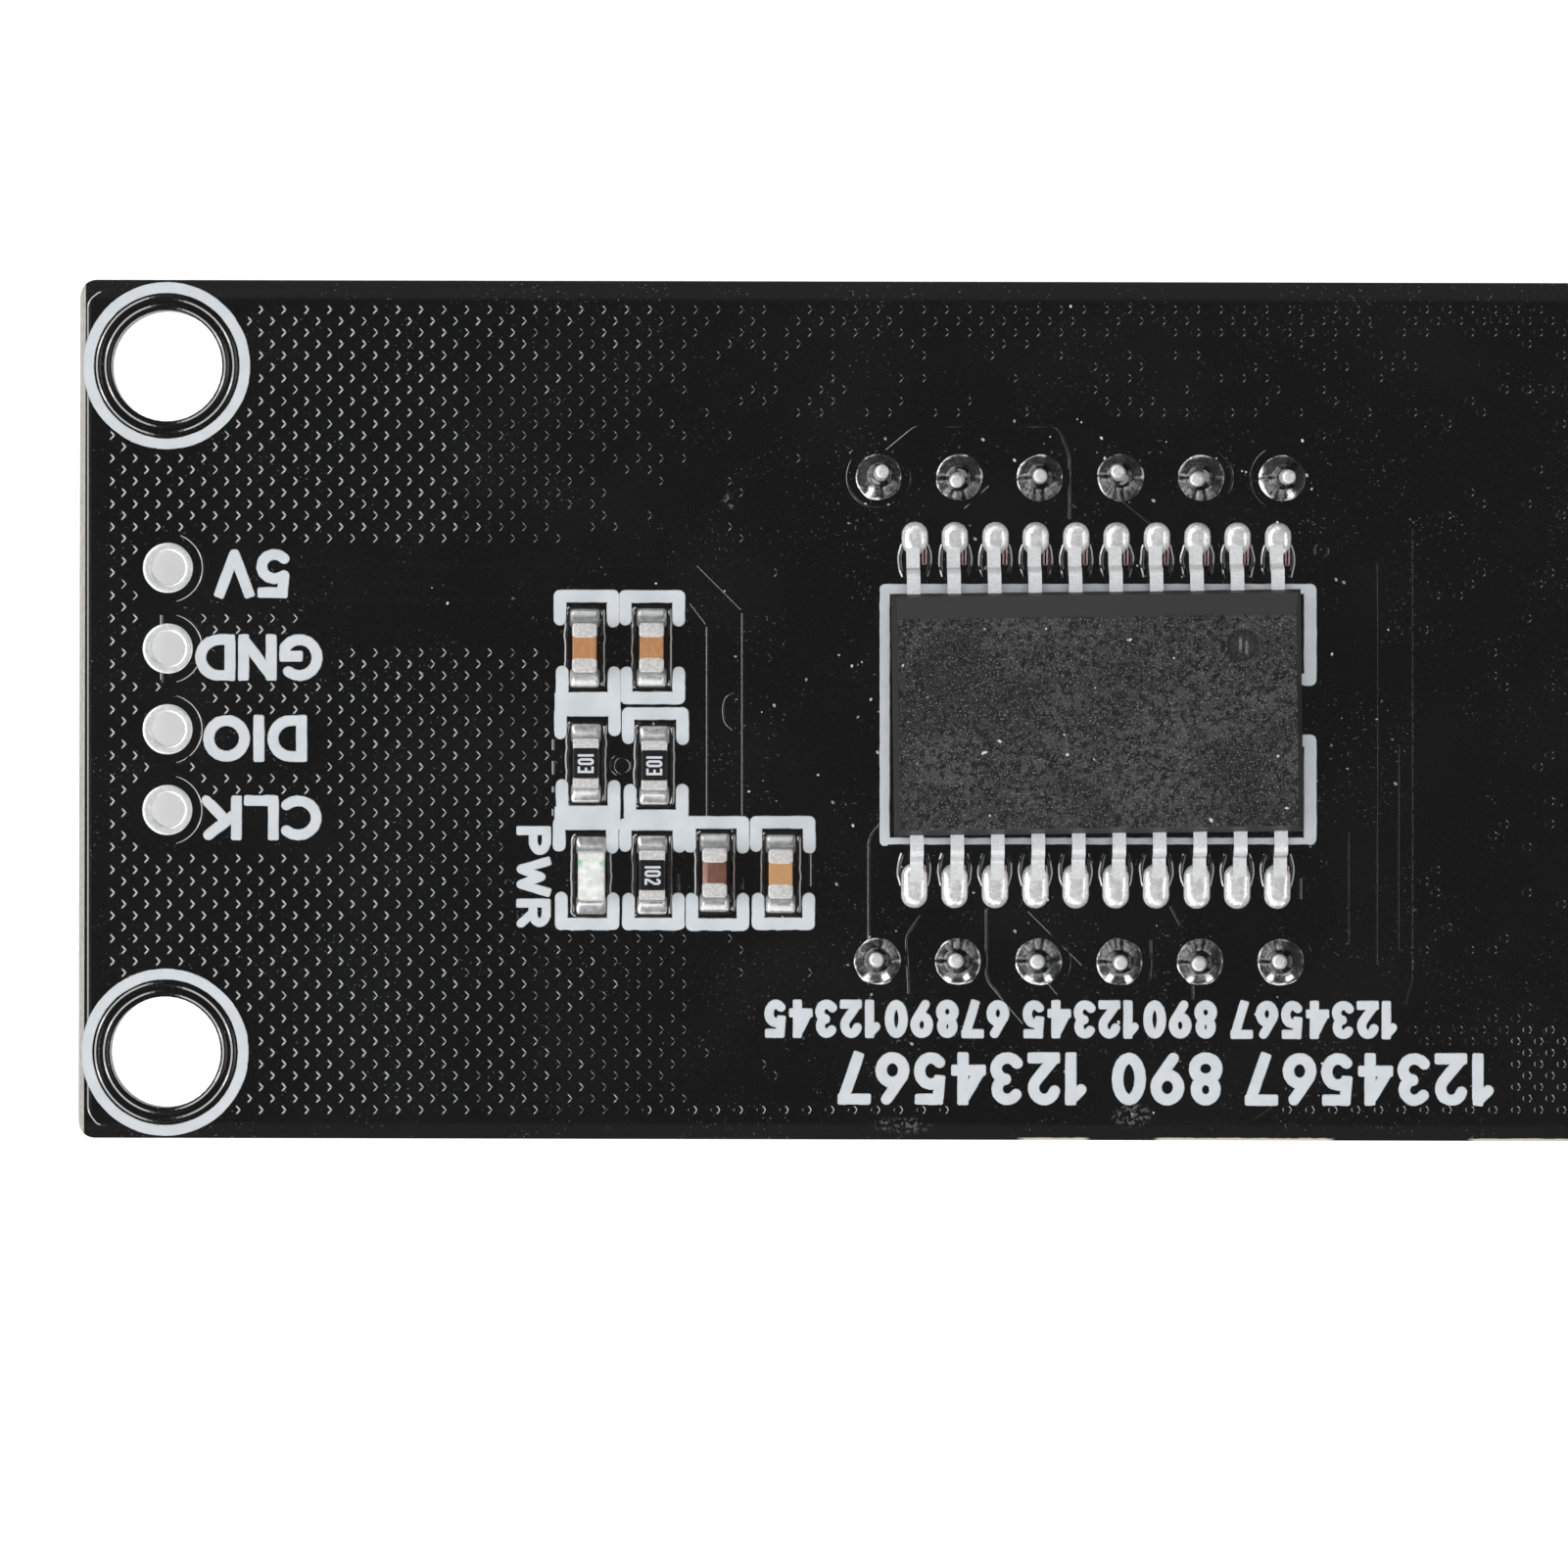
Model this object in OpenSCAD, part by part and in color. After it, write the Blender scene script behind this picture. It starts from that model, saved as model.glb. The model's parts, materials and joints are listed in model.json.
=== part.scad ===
// Seven segment display module, resting on its display face.
// Units are millimetres. The origin is under the middle of the board, on the display's face.
// +X runs along the board away from the cable holes, +Z points to the back of the board,
// which carries the driver chip and the small parts.

/* [Board] */
// Length of the board along X
board_l = 63; // [60:0.5:80]
// Width of the board along Y
board_w = 27; // [26:0.5:40]
// Thickness of the board
board_t = 1.6; // [0.8:0.1:2.4]
// Radius of the board's corners
board_corner_r = 0.55; // [0.2:0.05:1.5]
// Depth of the score along each end, where the board was broken off its panel
score_depth = 0.2; // [0.05:0.05:0.4]
// Thickness of the broken web between the scores
score_web = 0.5; // [0.2:0.05:0.7]
// Diameter of a mounting hole
mount_hole_d = 3.5; // [2:0.1:4]
// Distance from a mounting hole's centre to the board's end
mount_inset_x = 2.75; // [2.4:0.05:4]
// Distance from a mounting hole's centre to the board's long edge
mount_inset_y = 2.7; // [2.4:0.05:4]

/* [Cable holes] */
// Distance from one cable hole to the next
header_pitch = 2.54; // [2:0.01:2.9]
// Diameter of a plated cable hole
header_hole_d = 1.06; // [0.7:0.02:1.2]
// Diameter of the pad round a cable hole
header_pad_d = 1.54; // [1.4:0.02:1.9]
// Distance from the cable holes to the board's end
header_inset = 2.8; // [1.6:0.05:4]
// Y of the middle of the row of cable holes
header_y = 0.63; // [-1.5:0.01:1.5]
// Thickness of the tinned copper that stands on the board's faces
pad_t = 0.05; // [0.02:0.01:0.1]
// Wall of the plating inside a hole
plating_t = 0.04; // [0.02:0.01:0.08]

/* [Display body] */
// Length of the display along X
display_l = 50.3; // [50:0.1:52]
// Width of the display along Y
display_w = 19; // [18:0.1:20]
// Height of the display from its face to its back
display_h = 8; // [7.2:0.1:10]
// Y of the display's middle
display_y = -0.27; // [-0.6:0.01:0.6]
// Wall round the pocket in the display's back
shell_wall = 0.9; // [0.6:0.05:1.2]
// Depth of the segment wells, from the face to the inner board
well_depth = 5.6; // [4.5:0.1:6]
// Thickness of the inner board
inner_board_t = 1; // [0.6:0.1:1.2]
// Gap between the inner board and the pocket's walls
inner_board_gap = 0.25; // [0.1:0.05:0.4]
// How far the back resin stays below the display's rim
resin_recess = 0.3; // [0.1:0.05:0.5]
// How far the milky resin stays behind the display's face
face_recess = 0.05; // [0.02:0.01:0.3]

/* [Digits] */
// Distance from one digit to the next
digit_pitch = 12.7; // [12.4:0.05:12.9]
// Height of a digit
digit_h = 14.2; // [12.5:0.1:15]
// Width of an upright digit before it is slanted
digit_w = 7.2; // [6.4:0.1:7.4]
// Width of a segment
segment_w = 1.7; // [1.2:0.05:2]
// Gap between neighbouring segments
segment_gap = 0.3; // [0.15:0.05:0.5]
// Slant of the digits in degrees
slant = 10; // [0:1:12]
// Diameter of a colon dot
dot_d = 1.6; // [1:0.1:2]
// Distance between the two colon dots
dot_step = 5.4; // [3:0.1:7]
// Side of a light-emitting die
die_w = 0.3; // [0.2:0.02:0.5]
// Height of a light-emitting die
die_h = 0.2; // [0.1:0.02:0.4]

/* [Display pins] */
// Distance from one pin to the next in a row
pin_pitch = 2.54; // [2:0.01:2.8]
// Distance between the two rows of pins
pin_row_gap = 15.24; // [14.6:0.02:15.6]
// Diameter of a pin
pin_d = 0.5; // [0.4:0.02:0.6]
// How far a trimmed pin stands out of the board's back
pin_stand = 1.75; // [1.4:0.05:2.5]
// Diameter of a plated pin hole
pin_hole_d = 0.9; // [0.8:0.02:1.1]
// Diameter of a solder joint on the board
joint_d = 1.45; // [1.3:0.05:1.8]
// Height of a solder joint on the board
joint_h = 1.2; // [0.8:0.05:1.35]

/* [Driver chip] */
// Length of the driver's case along X
case_l = 12.85; // [12.6:0.05:13.2]
// Width of the driver's case along Y
case_w = 7.6; // [7.2:0.05:7.8]
// Height of the driver's case
case_h = 2.35; // [2:0.05:2.6]
// Gap between the driver's case and the board
case_lift = 0.12; // [0.05:0.01:0.3]
// How far the case's faces draw in from its parting line to its top and bottom
case_draft = 0.18; // [0.05:0.01:0.25]
// Width of the bevel along the case's upper long edge, seen from above
bevel_w = 0.74; // [0.3:0.02:1]
// Depth of that bevel
bevel_h = 0.4; // [0.1:0.02:0.6]
// Diameter of the round mark beside the first lead
dimple_d = 1; // [0.5:0.05:1.5]
// Depth of the round mark
dimple_depth = 0.08; // [0.02:0.01:0.2]
// Distance from the round mark to the case's end
dimple_inset_x = 1.885; // [1.2:0.005:2.5]
// Distance from the round mark to the case's long edge
dimple_inset_y = 1.75; // [1.6:0.05:3]
// X of the case's middle
case_x = 0.53; // [-0.5:0.01:1]
// Y of the case's middle
case_y = -0.054; // [-0.3:0.002:0.3]
// How far the driver is turned on its pads, in degrees
case_turn = 0.83; // [-1:0.01:1]
// Distance from one lead to the next
lead_pitch = 1.27; // [1.2:0.005:1.3]
// Width of a lead
lead_w = 0.42; // [0.3:0.01:0.5]
// Thickness of a lead
lead_t = 0.22; // [0.15:0.01:0.28]
// How far a lead runs straight out of the case before it bends down
lead_shoulder = 0.4; // [0.25:0.01:0.5]
// Length of a lead's flat foot
lead_foot = 0.5; // [0.4:0.02:0.7]
// Radius of a lead's bends at its middle line
lead_bend_r = 0.2; // [0.16:0.01:0.25]
// Lean of a lead's upright stretch in degrees
lead_lean = 8; // [2:1:12]
// How deep a lead's root is held in the case
lead_root = 0.35; // [0.15:0.05:0.6]

/* [Driver pads] */
// X of the middle of the two rows of pads
lead_pads_x = 0.515; // [0.4:0.005:0.6]
// Y of the line midway between the two rows of pads
lead_pads_y = -0.135; // [-0.2:0.005:0.1]
// Width of a pad
lead_pad_w = 0.84; // [0.7:0.02:0.96]
// How far a pad reaches in from the lead's tip
lead_pad_back = 1; // [0.8:0.02:1.1]
// How far a pad reaches out from the lead's tip
lead_pad_front = 0.88; // [0.8:0.02:0.96]
// Thickness of the solder under a lead
solder_t = 0.06; // [0.03:0.01:0.12]
// Height of the solder bulb at a lead's tip
bulb_h = 0.24; // [0.14:0.02:0.34]

/* [Small parts] */
// X of the first column of small parts
small_x = -15.5; // [-16.5:0.05:-15]
// Distance from one column of small parts to the next
small_step_x = 2.06; // [2.02:0.01:2.3]
// Y of the upper row of small parts
small_y = 1.96; // [1.5:0.02:2.6]
// Distance from one row of small parts to the next
small_step_y = 3.56; // [3.53:0.01:3.8]
// Length of a small part along Y
small_l = 1.56; // [1.4:0.02:1.7]
// Thickness of the solder film under a small part
film_t = 0.04; // [0.02:0.01:0.08]
// Reach of the solder from a small part's middle
small_solder_reach = 1.22; // [1.1:0.02:1.24]
// Width of the solder under a small part
small_solder_w = 0.96; // [0.86:0.02:0.98]

/* [Capacitors] */
// Width of a capacitor
capacitor_w = 0.78; // [0.6:0.02:0.84]
// Height of a capacitor
capacitor_h = 0.78; // [0.6:0.02:0.84]
// Length of a capacitor's end terminal
capacitor_end = 0.42; // [0.2:0.02:0.5]
// How far the terminals of a capacitor or a resistor stand proud of its body
cap_t = 0.03; // [0.02:0.01:0.06]
// Bevel on a capacitor's edges
capacitor_bevel = 0.03; // [0.01:0.01:0.03]

/* [Resistors] */
// Width of a resistor
resistor_w = 0.82; // [0.6:0.02:0.84]
// Height of a resistor
resistor_h = 0.45; // [0.35:0.02:0.6]
// Length of a resistor's end terminal
resistor_end = 0.3; // [0.2:0.02:0.4]
// Thickness of a resistor's black coating
coating_t = 0.02; // [0.01:0.01:0.03]

/* [Indicator lamp] */
// Width of the indicator lamp
indicator_w = 0.84; // [0.7:0.02:0.84]
// Height of the indicator's base
indicator_base_h = 0.3; // [0.2:0.02:0.4]
// Height of the indicator's lens above its base
indicator_lens_h = 0.36; // [0.2:0.02:0.5]
// Length of an indicator's end terminal
indicator_end = 0.24; // [0.14:0.02:0.3]

/* [White print] */
// Thickness of the white print
print_t = 0.03; // [0.02:0.01:0.05]
// Diameter over the ring round a mounting hole
ring_d = 5.38; // [5:0.02:6]
// Width of that ring's line
ring_line = 0.38; // [0.2:0.02:0.5]
// Width over the frame round a small part
frame_w = 2.02; // [2.02:0.02:2.2]
// Length over the frame round a small part
frame_l = 3.52; // [3.5:0.02:3.8]
// Width of a small frame's line
frame_line = 0.37; // [0.2:0.01:0.37]
// Length of a small frame's legs
frame_leg = 1.14; // [0.7:0.02:1.5]
// Width of the driver frame's line
driver_line = 0.15; // [0.1:0.01:0.2]
// Width of the driver frame's end bars
driver_bar = 0.32; // [0.2:0.02:0.4]
// Gap between the case's end and the frame's end bar
driver_frame_gap = 0.14; // [0.1:0.01:0.5]
// Gap between the driver's frame and the inner ends of its pads
driver_frame_clear = 0.12; // [0.05:0.01:0.2]
// Length of the gap in the frame's bar beside the first lead
driver_notch = 1.6; // [1:0.05:3]

/* [Hidden] */
$fn = 48;
eps = 0.5;
// Gap round a round piece in its hole
fit = 0.01;
// Side of a block that cuts past any small piece
cutter = 2;
PIN_COLUMNS = 6;
LEADS = 10;
DIGITS = 4;

top_z = display_h + board_t;
lead_z = case_lift + case_h * 0.49;
foot_z = solder_t + lead_t / 2;
lead_leg = (lead_z - foot_z - 2 * lead_bend_r * (1 - sin(lead_lean))) / cos(lead_lean);
lead_bend_y = case_w / 2 + lead_shoulder;
lead_heel_y = lead_bend_y + 2 * lead_bend_r * cos(lead_lean) + lead_leg * sin(lead_lean);
lead_tip_y = lead_heel_y + lead_foot;
lead_pad_in = lead_tip_y - lead_pad_back;
lead_pad_out = lead_tip_y + lead_pad_front;
inner_top_z = well_depth + inner_board_t;
pocket_l = display_l - 2 * shell_wall;
pocket_w = display_w - 2 * shell_wall;

mount_points = [for (sx = [-1, 1], sy = [-1, 1])
    [sx * (board_l / 2 - mount_inset_x), sy * (board_w / 2 - mount_inset_y)]];
header_points = [for (i = [0 : 3])
    [-board_l / 2 + header_inset, header_y + (1.5 - i) * header_pitch]];
pin_points = [for (sy = [1, -1], i = [0 : PIN_COLUMNS - 1])
    [(i - (PIN_COLUMNS - 1) / 2) * pin_pitch, display_y + sy * pin_row_gap / 2]];

// Column and row of each part, and how far off it was placed, in shares of its length
capacitor_spots = [[0, 0, -0.05, -0.01], [1, 0, -0.02, 0], [2, 2, -0.06, 0.03], [3, 2, -0.05, 0.01]];
resistor_spots = [[0, 1, -0.02, -0.05], [1, 1, 0.04, -0.09], [1, 2, 0, -0.02]];
indicator_spots = [[0, 2, 0.09, -0.03]];
all_spots = concat(capacitor_spots, resistor_spots, indicator_spots);
function spot_frame(s) = [small_x + s[0] * small_step_x, small_y - s[1] * small_step_y];
function spot_part(s) = spot_frame(s) + small_l * [s[2], s[3]];

// Helpers

// A box centred on X and Y that stands on z = 0
module block(l, w, h) {
    translate([-l / 2, -w / 2, 0]) cube([l, w, h]);
}

// A block with the same bevel on all of its edges
module bevelled_block(l, w, h, b) {
    intersection() {
        linear_extrude(h) bevelled_square(l, w, b);
        translate([0, 0, h / 2]) rotate([90, 0, 0])
            linear_extrude(w + 2 * eps, center = true) bevelled_square(l, h, b);
        translate([0, 0, h / 2]) rotate([90, 0, 90])
            linear_extrude(l + 2 * eps, center = true) bevelled_square(w, h, b);
    }
}

module bevelled_square(l, w, b) {
    x = l / 2;
    y = w / 2;
    polygon([[-x + b, -y], [x - b, -y], [x, -y + b], [x, y - b],
        [x - b, y], [-x + b, y], [-x, y - b], [-x, -y + b]]);
}

module rounded_square(l, w, r) {
    square([l - 2 * r, w], center = true);
    square([l, w - 2 * r], center = true);
    for (sx = [-1, 1], sy = [-1, 1]) translate([sx * (l / 2 - r), sy * (w / 2 - r)]) circle(r);
}

// Draws a profile of Y and Z and runs it along X
module along_x(length) {
    rotate([90, 0, 90]) linear_extrude(length, center = true) children();
}

function arc(centre, r, from, to, steps = 5) = [for (i = [0 : steps])
    let (a = from + (to - from) * i / steps) centre + r * [cos(a), sin(a)]];

// Board

module board() {
    z_mid = board_t / 2;
    x = board_l / 2;
    half_web = score_web / 2;
    color("#1c1c1e") translate([0, 0, display_h]) difference() {
        intersection() {
            linear_extrude(board_t) rounded_square(board_l, board_w, board_corner_r);
            rotate([90, 0, 0]) linear_extrude(board_w + 2 * eps, center = true)
                polygon([[-x + score_depth, 0], [x - score_depth, 0],
                    [x, z_mid - half_web], [x, z_mid + half_web],
                    [x - score_depth, board_t], [-x + score_depth, board_t],
                    [-x, z_mid + half_web], [-x, z_mid - half_web]]);
        }
        for (p = mount_points) drill(p, mount_hole_d);
        for (p = header_points) drill(p, header_hole_d + 2 * (plating_t + fit));
        for (p = pin_points) drill(p, pin_hole_d);
    }
}

module drill(p, d) {
    translate([p[0], p[1], -eps]) cylinder(d = d, h = board_t + 2 * eps);
}

// A tinned eyelet: the barrel in the hole and a flange on each face
module header_pad(i) {
    inner = header_hole_d / 2;
    barrel = inner + plating_t;
    flange = header_pad_d / 2;
    color("#cfcfc8") translate(header_points[i]) rotate_extrude()
        polygon([[inner, display_h - pad_t], [flange, display_h - pad_t], [flange, display_h],
            [barrel, display_h], [barrel, top_z], [flange, top_z],
            [flange, top_z + pad_t], [inner, top_z + pad_t]]);
}

// Display

// Outline of the segments of an upright digit, right and up as its reader sees them
function end_segment(sy) = let (k = segment_gap * cos(45), x = digit_w / 2, y = digit_h / 2)
    [for (p = [[-x + k, y], [x - k, y], [x - segment_w - k, y - segment_w],
        [-x + segment_w + k, y - segment_w]]) [p[0], sy * p[1]]];
function middle_segment() = let (k = segment_gap * cos(45), x = digit_w / 2, h = segment_w / 2)
    [[-x + h + k, 0], [-x + 2 * h + k, h], [x - 2 * h - k, h],
        [x - h - k, 0], [x - 2 * h - k, -h], [-x + 2 * h + k, -h]];
function side_segment(sx, sy) = let (k = segment_gap * cos(45), x = digit_w / 2, y = digit_h / 2)
    [for (p = [[-x, y - k], [-x + segment_w, y - segment_w - k],
        [-x + segment_w, segment_w / 2 + k], [-x + segment_w / 2, k], [-x, segment_w / 2 + k]])
        [sx * p[0], sy * p[1]]];
SEGMENTS = concat([end_segment(1), middle_segment(), end_segment(-1)],
    [for (sx = [-1, 1], sy = [-1, 1]) side_segment(sx, sy)]);

// The reader looks along +Z with -Y up, so a point's height runs towards -Y
function digit_x(i) = (i - (DIGITS - 1) / 2) * digit_pitch;
function slanted(p) = [p[0] + p[1] * tan(slant), -p[1]];
function middle(points) = [for (k = [0, 1])
    let (v = [for (p = points) p[k]]) (max(v) + min(v)) / 2];

module segment_shape(points) {
    polygon([for (p = points) slanted(p)]);
}

module die(h) {
    translate([0, 0, well_depth - die_h]) block(die_w, die_w, h);
}

module digit_dies(h) {
    for (s = SEGMENTS) translate(slanted(middle(s))) die(h);
}

module at_digit(i) {
    translate([digit_x(i), display_y, 0]) children();
}

module at_dots() {
    for (s = [-1, 1]) translate([s * dot_step / 2 * tan(slant), display_y - s * dot_step / 2, 0])
        children();
}

module display_shell() {
    color("#e9e8e2") difference() {
        translate([0, display_y, 0]) block(display_l, display_w, display_h);
        translate([0, display_y, well_depth]) block(pocket_l, pocket_w, display_h);
        for (i = [0 : DIGITS - 1], s = SEGMENTS) at_digit(i) translate([0, 0, -eps])
            linear_extrude(well_depth + 2 * eps) segment_shape(s);
        at_dots() translate([0, 0, -eps]) cylinder(d = dot_d, h = well_depth + 2 * eps);
    }
}

module digit_segments(i) {
    color("#f4f3ec") at_digit(i) difference() {
        for (s = SEGMENTS) translate([0, 0, face_recess])
            linear_extrude(well_depth - face_recess) segment_shape(s);
        digit_dies(die_h + eps);
    }
}

module colon_dots() {
    color("#f4f3ec") at_dots() difference() {
        translate([0, 0, face_recess]) cylinder(d = dot_d - 2 * fit, h = well_depth - face_recess);
        die(die_h + eps);
    }
}

module light_dies() {
    color("#d8b24a") {
        for (i = [0 : DIGITS - 1]) at_digit(i) digit_dies(die_h);
        at_dots() die(die_h);
    }
}

module display_inner_board() {
    gap = 2 * inner_board_gap;
    color("#2f6b45") difference() {
        translate([0, display_y, well_depth]) block(pocket_l - gap, pocket_w - gap, inner_board_t);
        pin_bores(well_depth);
    }
}

module display_back_resin() {
    color("#d9d6cb") difference() {
        translate([0, display_y, inner_top_z])
            block(pocket_l, pocket_w, display_h - resin_recess - inner_top_z);
        pin_bores(inner_top_z);
    }
}

module pin_bores(z) {
    for (p = pin_points) translate([p[0], p[1], z - eps]) cylinder(d = pin_d + 2 * fit, h = display_h);
}

// A round pin with its trimmed end bevelled
module display_pin(i) {
    r = pin_d / 2;
    bevel = pin_d / 8;
    color("#c9c8c2") translate(pin_points[i]) rotate_extrude()
        polygon([[0, well_depth], [r, well_depth], [r, top_z + pin_stand - bevel],
            [r - bevel, top_z + pin_stand], [0, top_z + pin_stand]]);
}

// Solder that fills the pin hole and climbs the pin in a hollow cone
module pin_solder(i) {
    steps = 6;
    bore = pin_d / 2 + fit;
    barrel = pin_hole_d / 2 - fit;
    foot = joint_d / 2;
    crown = bore + joint_d / 30;
    color("#b9b9b5") translate(pin_points[i]) rotate_extrude()
        polygon(concat([[bore, display_h], [barrel, display_h], [barrel, top_z]],
            [for (k = [0 : steps]) let (t = k / steps)
                [crown + (foot - crown) * pow(1 - t, 1.6), top_z + joint_h * t]],
            [[bore, top_z + joint_h]]));
}

// Driver chip

module at_driver() {
    translate([case_x, case_y, top_z]) rotate([0, 0, case_turn]) children();
}

function lead_x(i) = (i - (LEADS - 1) / 2) * lead_pitch;

module driver_block() {
    x = case_l / 2;
    y = case_w / 2;
    bevel_z = case_h - bevel_h;
    parting_z = lead_z - case_lift;
    y_at_bevel = y - case_draft * (bevel_z - parting_z) / (case_h - parting_z);
    intersection() {
        along_x(case_l + 2 * eps)
            polygon([[-y + case_draft, 0], [y - case_draft, 0], [y, parting_z],
                [y_at_bevel, bevel_z], [y_at_bevel - bevel_w, case_h],
                [-y + case_draft, case_h], [-y, parting_z]]);
        rotate([90, 0, 0]) linear_extrude(case_w + 2 * eps, center = true)
            polygon([[-x + case_draft, 0], [x - case_draft, 0], [x, parting_z],
                [x - case_draft, case_h], [-x + case_draft, case_h], [-x, parting_z]]);
    }
}

module driver_case() {
    pocket = lead_root + fit;
    color("#3d3d3e") at_driver() difference() {
        translate([0, 0, case_lift]) driver_block();
        translate([case_l / 2 - dimple_inset_x, case_w / 2 - dimple_inset_y,
            case_lift + case_h - dimple_depth]) cylinder(d = dimple_d, h = 1);
        for (i = [0 : LEADS - 1], s = [-1, 1])
            translate([lead_x(i), s * (case_w - 2 * pocket + cutter) / 2, lead_z - lead_t / 2 - fit])
                block(lead_w + 2 * fit, cutter, lead_t + 2 * fit);
    }
}

// One gull-wing lead on the +Y side, from its root in the case to its foot on the pad
module lead_shape() {
    r = lead_bend_r;
    half = lead_t / 2;
    root = [case_w / 2 - lead_root, lead_z];
    knee = [lead_bend_y, lead_z - r];
    heel = [lead_heel_y, foot_z + r];
    polygon(concat([root + [0, half]],
        arc(knee, r + half, 90, lead_lean), arc(heel, r - half, 180 + lead_lean, 270),
        [[lead_tip_y, foot_z + half], [lead_tip_y, foot_z - half]],
        arc(heel, r + half, 270, 180 + lead_lean), arc(knee, r - half, lead_lean, 90),
        [root - [0, half]]));
}

module driver_leads(side) {
    color("#cfd0ce") at_driver() for (i = [0 : LEADS - 1])
        translate([lead_x(i), 0, 0]) mirror([0, side < 0 ? 1 : 0, 0]) along_x(lead_w) lead_shape();
}

// Space that the leads' feet take up in the solder
module foot_space() {
    at_driver() for (i = [0 : LEADS - 1], s = [-1, 1])
        translate([lead_x(i), s * lead_tip_y / 2, solder_t])
            block(lead_w + 2 * fit, lead_tip_y + 2 * fit, case_h);
}

// An oval solder film on each pad with a bulb at the lead's tip
module driver_solder(side) {
    r = lead_pad_w / 2;
    base = r * 0.94;
    ball = (base * base + bulb_h * bulb_h) / (2 * bulb_h);
    color("#bdbdba") difference() {
        translate([lead_pads_x, lead_pads_y, top_z]) for (i = [0 : LEADS - 1])
            translate([lead_x(i), 0, 0]) {
                linear_extrude(solder_t) {
                    translate([0, side * (lead_pad_in + lead_pad_out) / 2])
                        square([lead_pad_w, lead_pad_out - lead_pad_in - 2 * r], center = true);
                    for (y = [lead_pad_in + r, lead_pad_out - r]) translate([0, side * y]) circle(r);
                }
                translate([0, side * (lead_pad_out - r), solder_t]) intersection() {
                    translate([0, 0, bulb_h - ball]) sphere(ball);
                    cylinder(r = r, h = bulb_h + eps);
                }
            }
        foot_space();
    }
}

// Small parts

module at_part(s) {
    p = spot_part(s);
    translate([p[0], p[1], top_z + film_t]) children();
}

// Keeps only the two ends of a part
module ends_only(length, end) {
    for (s = [-1, 1]) intersection() {
        translate([0, s * (length - end) / 2, -eps]) block(cutter, end, cutter);
        children();
    }
}

module capacitor_core() {
    translate([0, 0, cap_t]) block(capacitor_w - 2 * cap_t, small_l - 2 * cap_t, capacitor_h - 2 * cap_t);
}

module capacitor_body(i) {
    color(i == 2 ? "#6b4434" : "#c79a63") at_part(capacitor_spots[i]) capacitor_core();
}

module capacitor_terminals(i) {
    color("#d6d6d3") at_part(capacitor_spots[i]) ends_only(small_l, capacitor_end) difference() {
        bevelled_block(capacitor_w, small_l, capacitor_h, capacitor_bevel);
        capacitor_core();
    }
}

module resistor_core() {
    translate([0, 0, cap_t]) block(resistor_w, small_l - 2 * cap_t, resistor_h - 2 * cap_t);
}

module resistor_body(i) {
    color("#e7e6e0") at_part(resistor_spots[i]) resistor_core();
}

module resistor_coating(i) {
    color("#202022") at_part(resistor_spots[i]) translate([0, 0, resistor_h - cap_t])
        block(resistor_w, small_l - 2 * resistor_end, coating_t);
}

module resistor_terminals(i) {
    color("#d6d6d3") at_part(resistor_spots[i]) ends_only(small_l, resistor_end) difference() {
        block(resistor_w, small_l, resistor_h);
        resistor_core();
    }
}

module indicator_base() {
    core_l = small_l - 2 * cap_t;
    color("#efeee8") at_part(indicator_spots[0]) translate([0, 0, cap_t])
        block(indicator_w, core_l, indicator_base_h - 2 * cap_t);
}

module indicator_lens() {
    color("#e9ece6") at_part(indicator_spots[0]) translate([0, 0, indicator_base_h - cap_t])
        bevelled_lens(small_l - 2 * indicator_end);
}

// The lens is a moulded block whose ends lean in
module bevelled_lens(length) {
    lean = indicator_lens_h / 6;
    h = indicator_lens_h + cap_t;
    along_x(indicator_w) polygon([[-length / 2, 0], [length / 2, 0],
        [length / 2 - lean, h], [-length / 2 + lean, h]]);
}

module indicator_terminals() {
    color("#d6d6d3") at_part(indicator_spots[0]) ends_only(small_l, indicator_end) difference() {
        block(indicator_w, small_l, indicator_base_h);
        translate([0, 0, cap_t]) block(indicator_w, small_l - 2 * cap_t, indicator_base_h - 2 * cap_t);
    }
}

// A film under each end terminal that climbs the end face in a hollow fillet
module end_solder(spot, end, wet_h) {
    steps = 5;
    inner = small_l / 2 - end;
    face = small_l / 2;
    p = spot_part(spot);
    translate([p[0], p[1], top_z]) for (s = [0, 1]) mirror([0, s, 0]) along_x(small_solder_w)
        polygon(concat([[inner, 0], [small_solder_reach, 0]],
            [for (k = [0 : steps]) let (t = k / steps)
                [face + (small_solder_reach - face) * pow(1 - t, 1.6), film_t + wet_h * t]],
            [[face, film_t], [inner, film_t]]));
}

module capacitor_solder() {
    color("#bdbdba") for (s = capacitor_spots) end_solder(s, capacitor_end, capacitor_h * 0.6);
}

module resistor_solder() {
    color("#bdbdba") for (s = resistor_spots) end_solder(s, resistor_end, resistor_h * 0.8);
}

module indicator_solder() {
    color("#bdbdba") for (s = indicator_spots) end_solder(s, indicator_end, indicator_base_h * 0.9);
}

// White print

module board_print() {
    color("#e2e4e6") translate([0, 0, top_z]) linear_extrude(print_t) {
        intersection() {
            for (p = mount_points) translate(p) difference() {
                circle(d = ring_d);
                circle(d = ring_d - 2 * ring_line);
            }
            square([board_l - 2 * score_depth, board_w], center = true);
        }
        for (s = all_spots) translate(spot_frame(s)) small_frame();
        translate([case_x, lead_pads_y]) driver_frame();
    }
}

// Two brackets that face each other across a small part
module small_frame() {
    for (s = [0, 1]) mirror([0, s]) difference() {
        translate([-frame_w / 2, frame_l / 2 - frame_leg]) square([frame_w, frame_leg]);
        translate([-frame_w / 2 + frame_line, 0])
            square([frame_w - 2 * frame_line, frame_l / 2 - frame_line]);
    }
}

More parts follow.
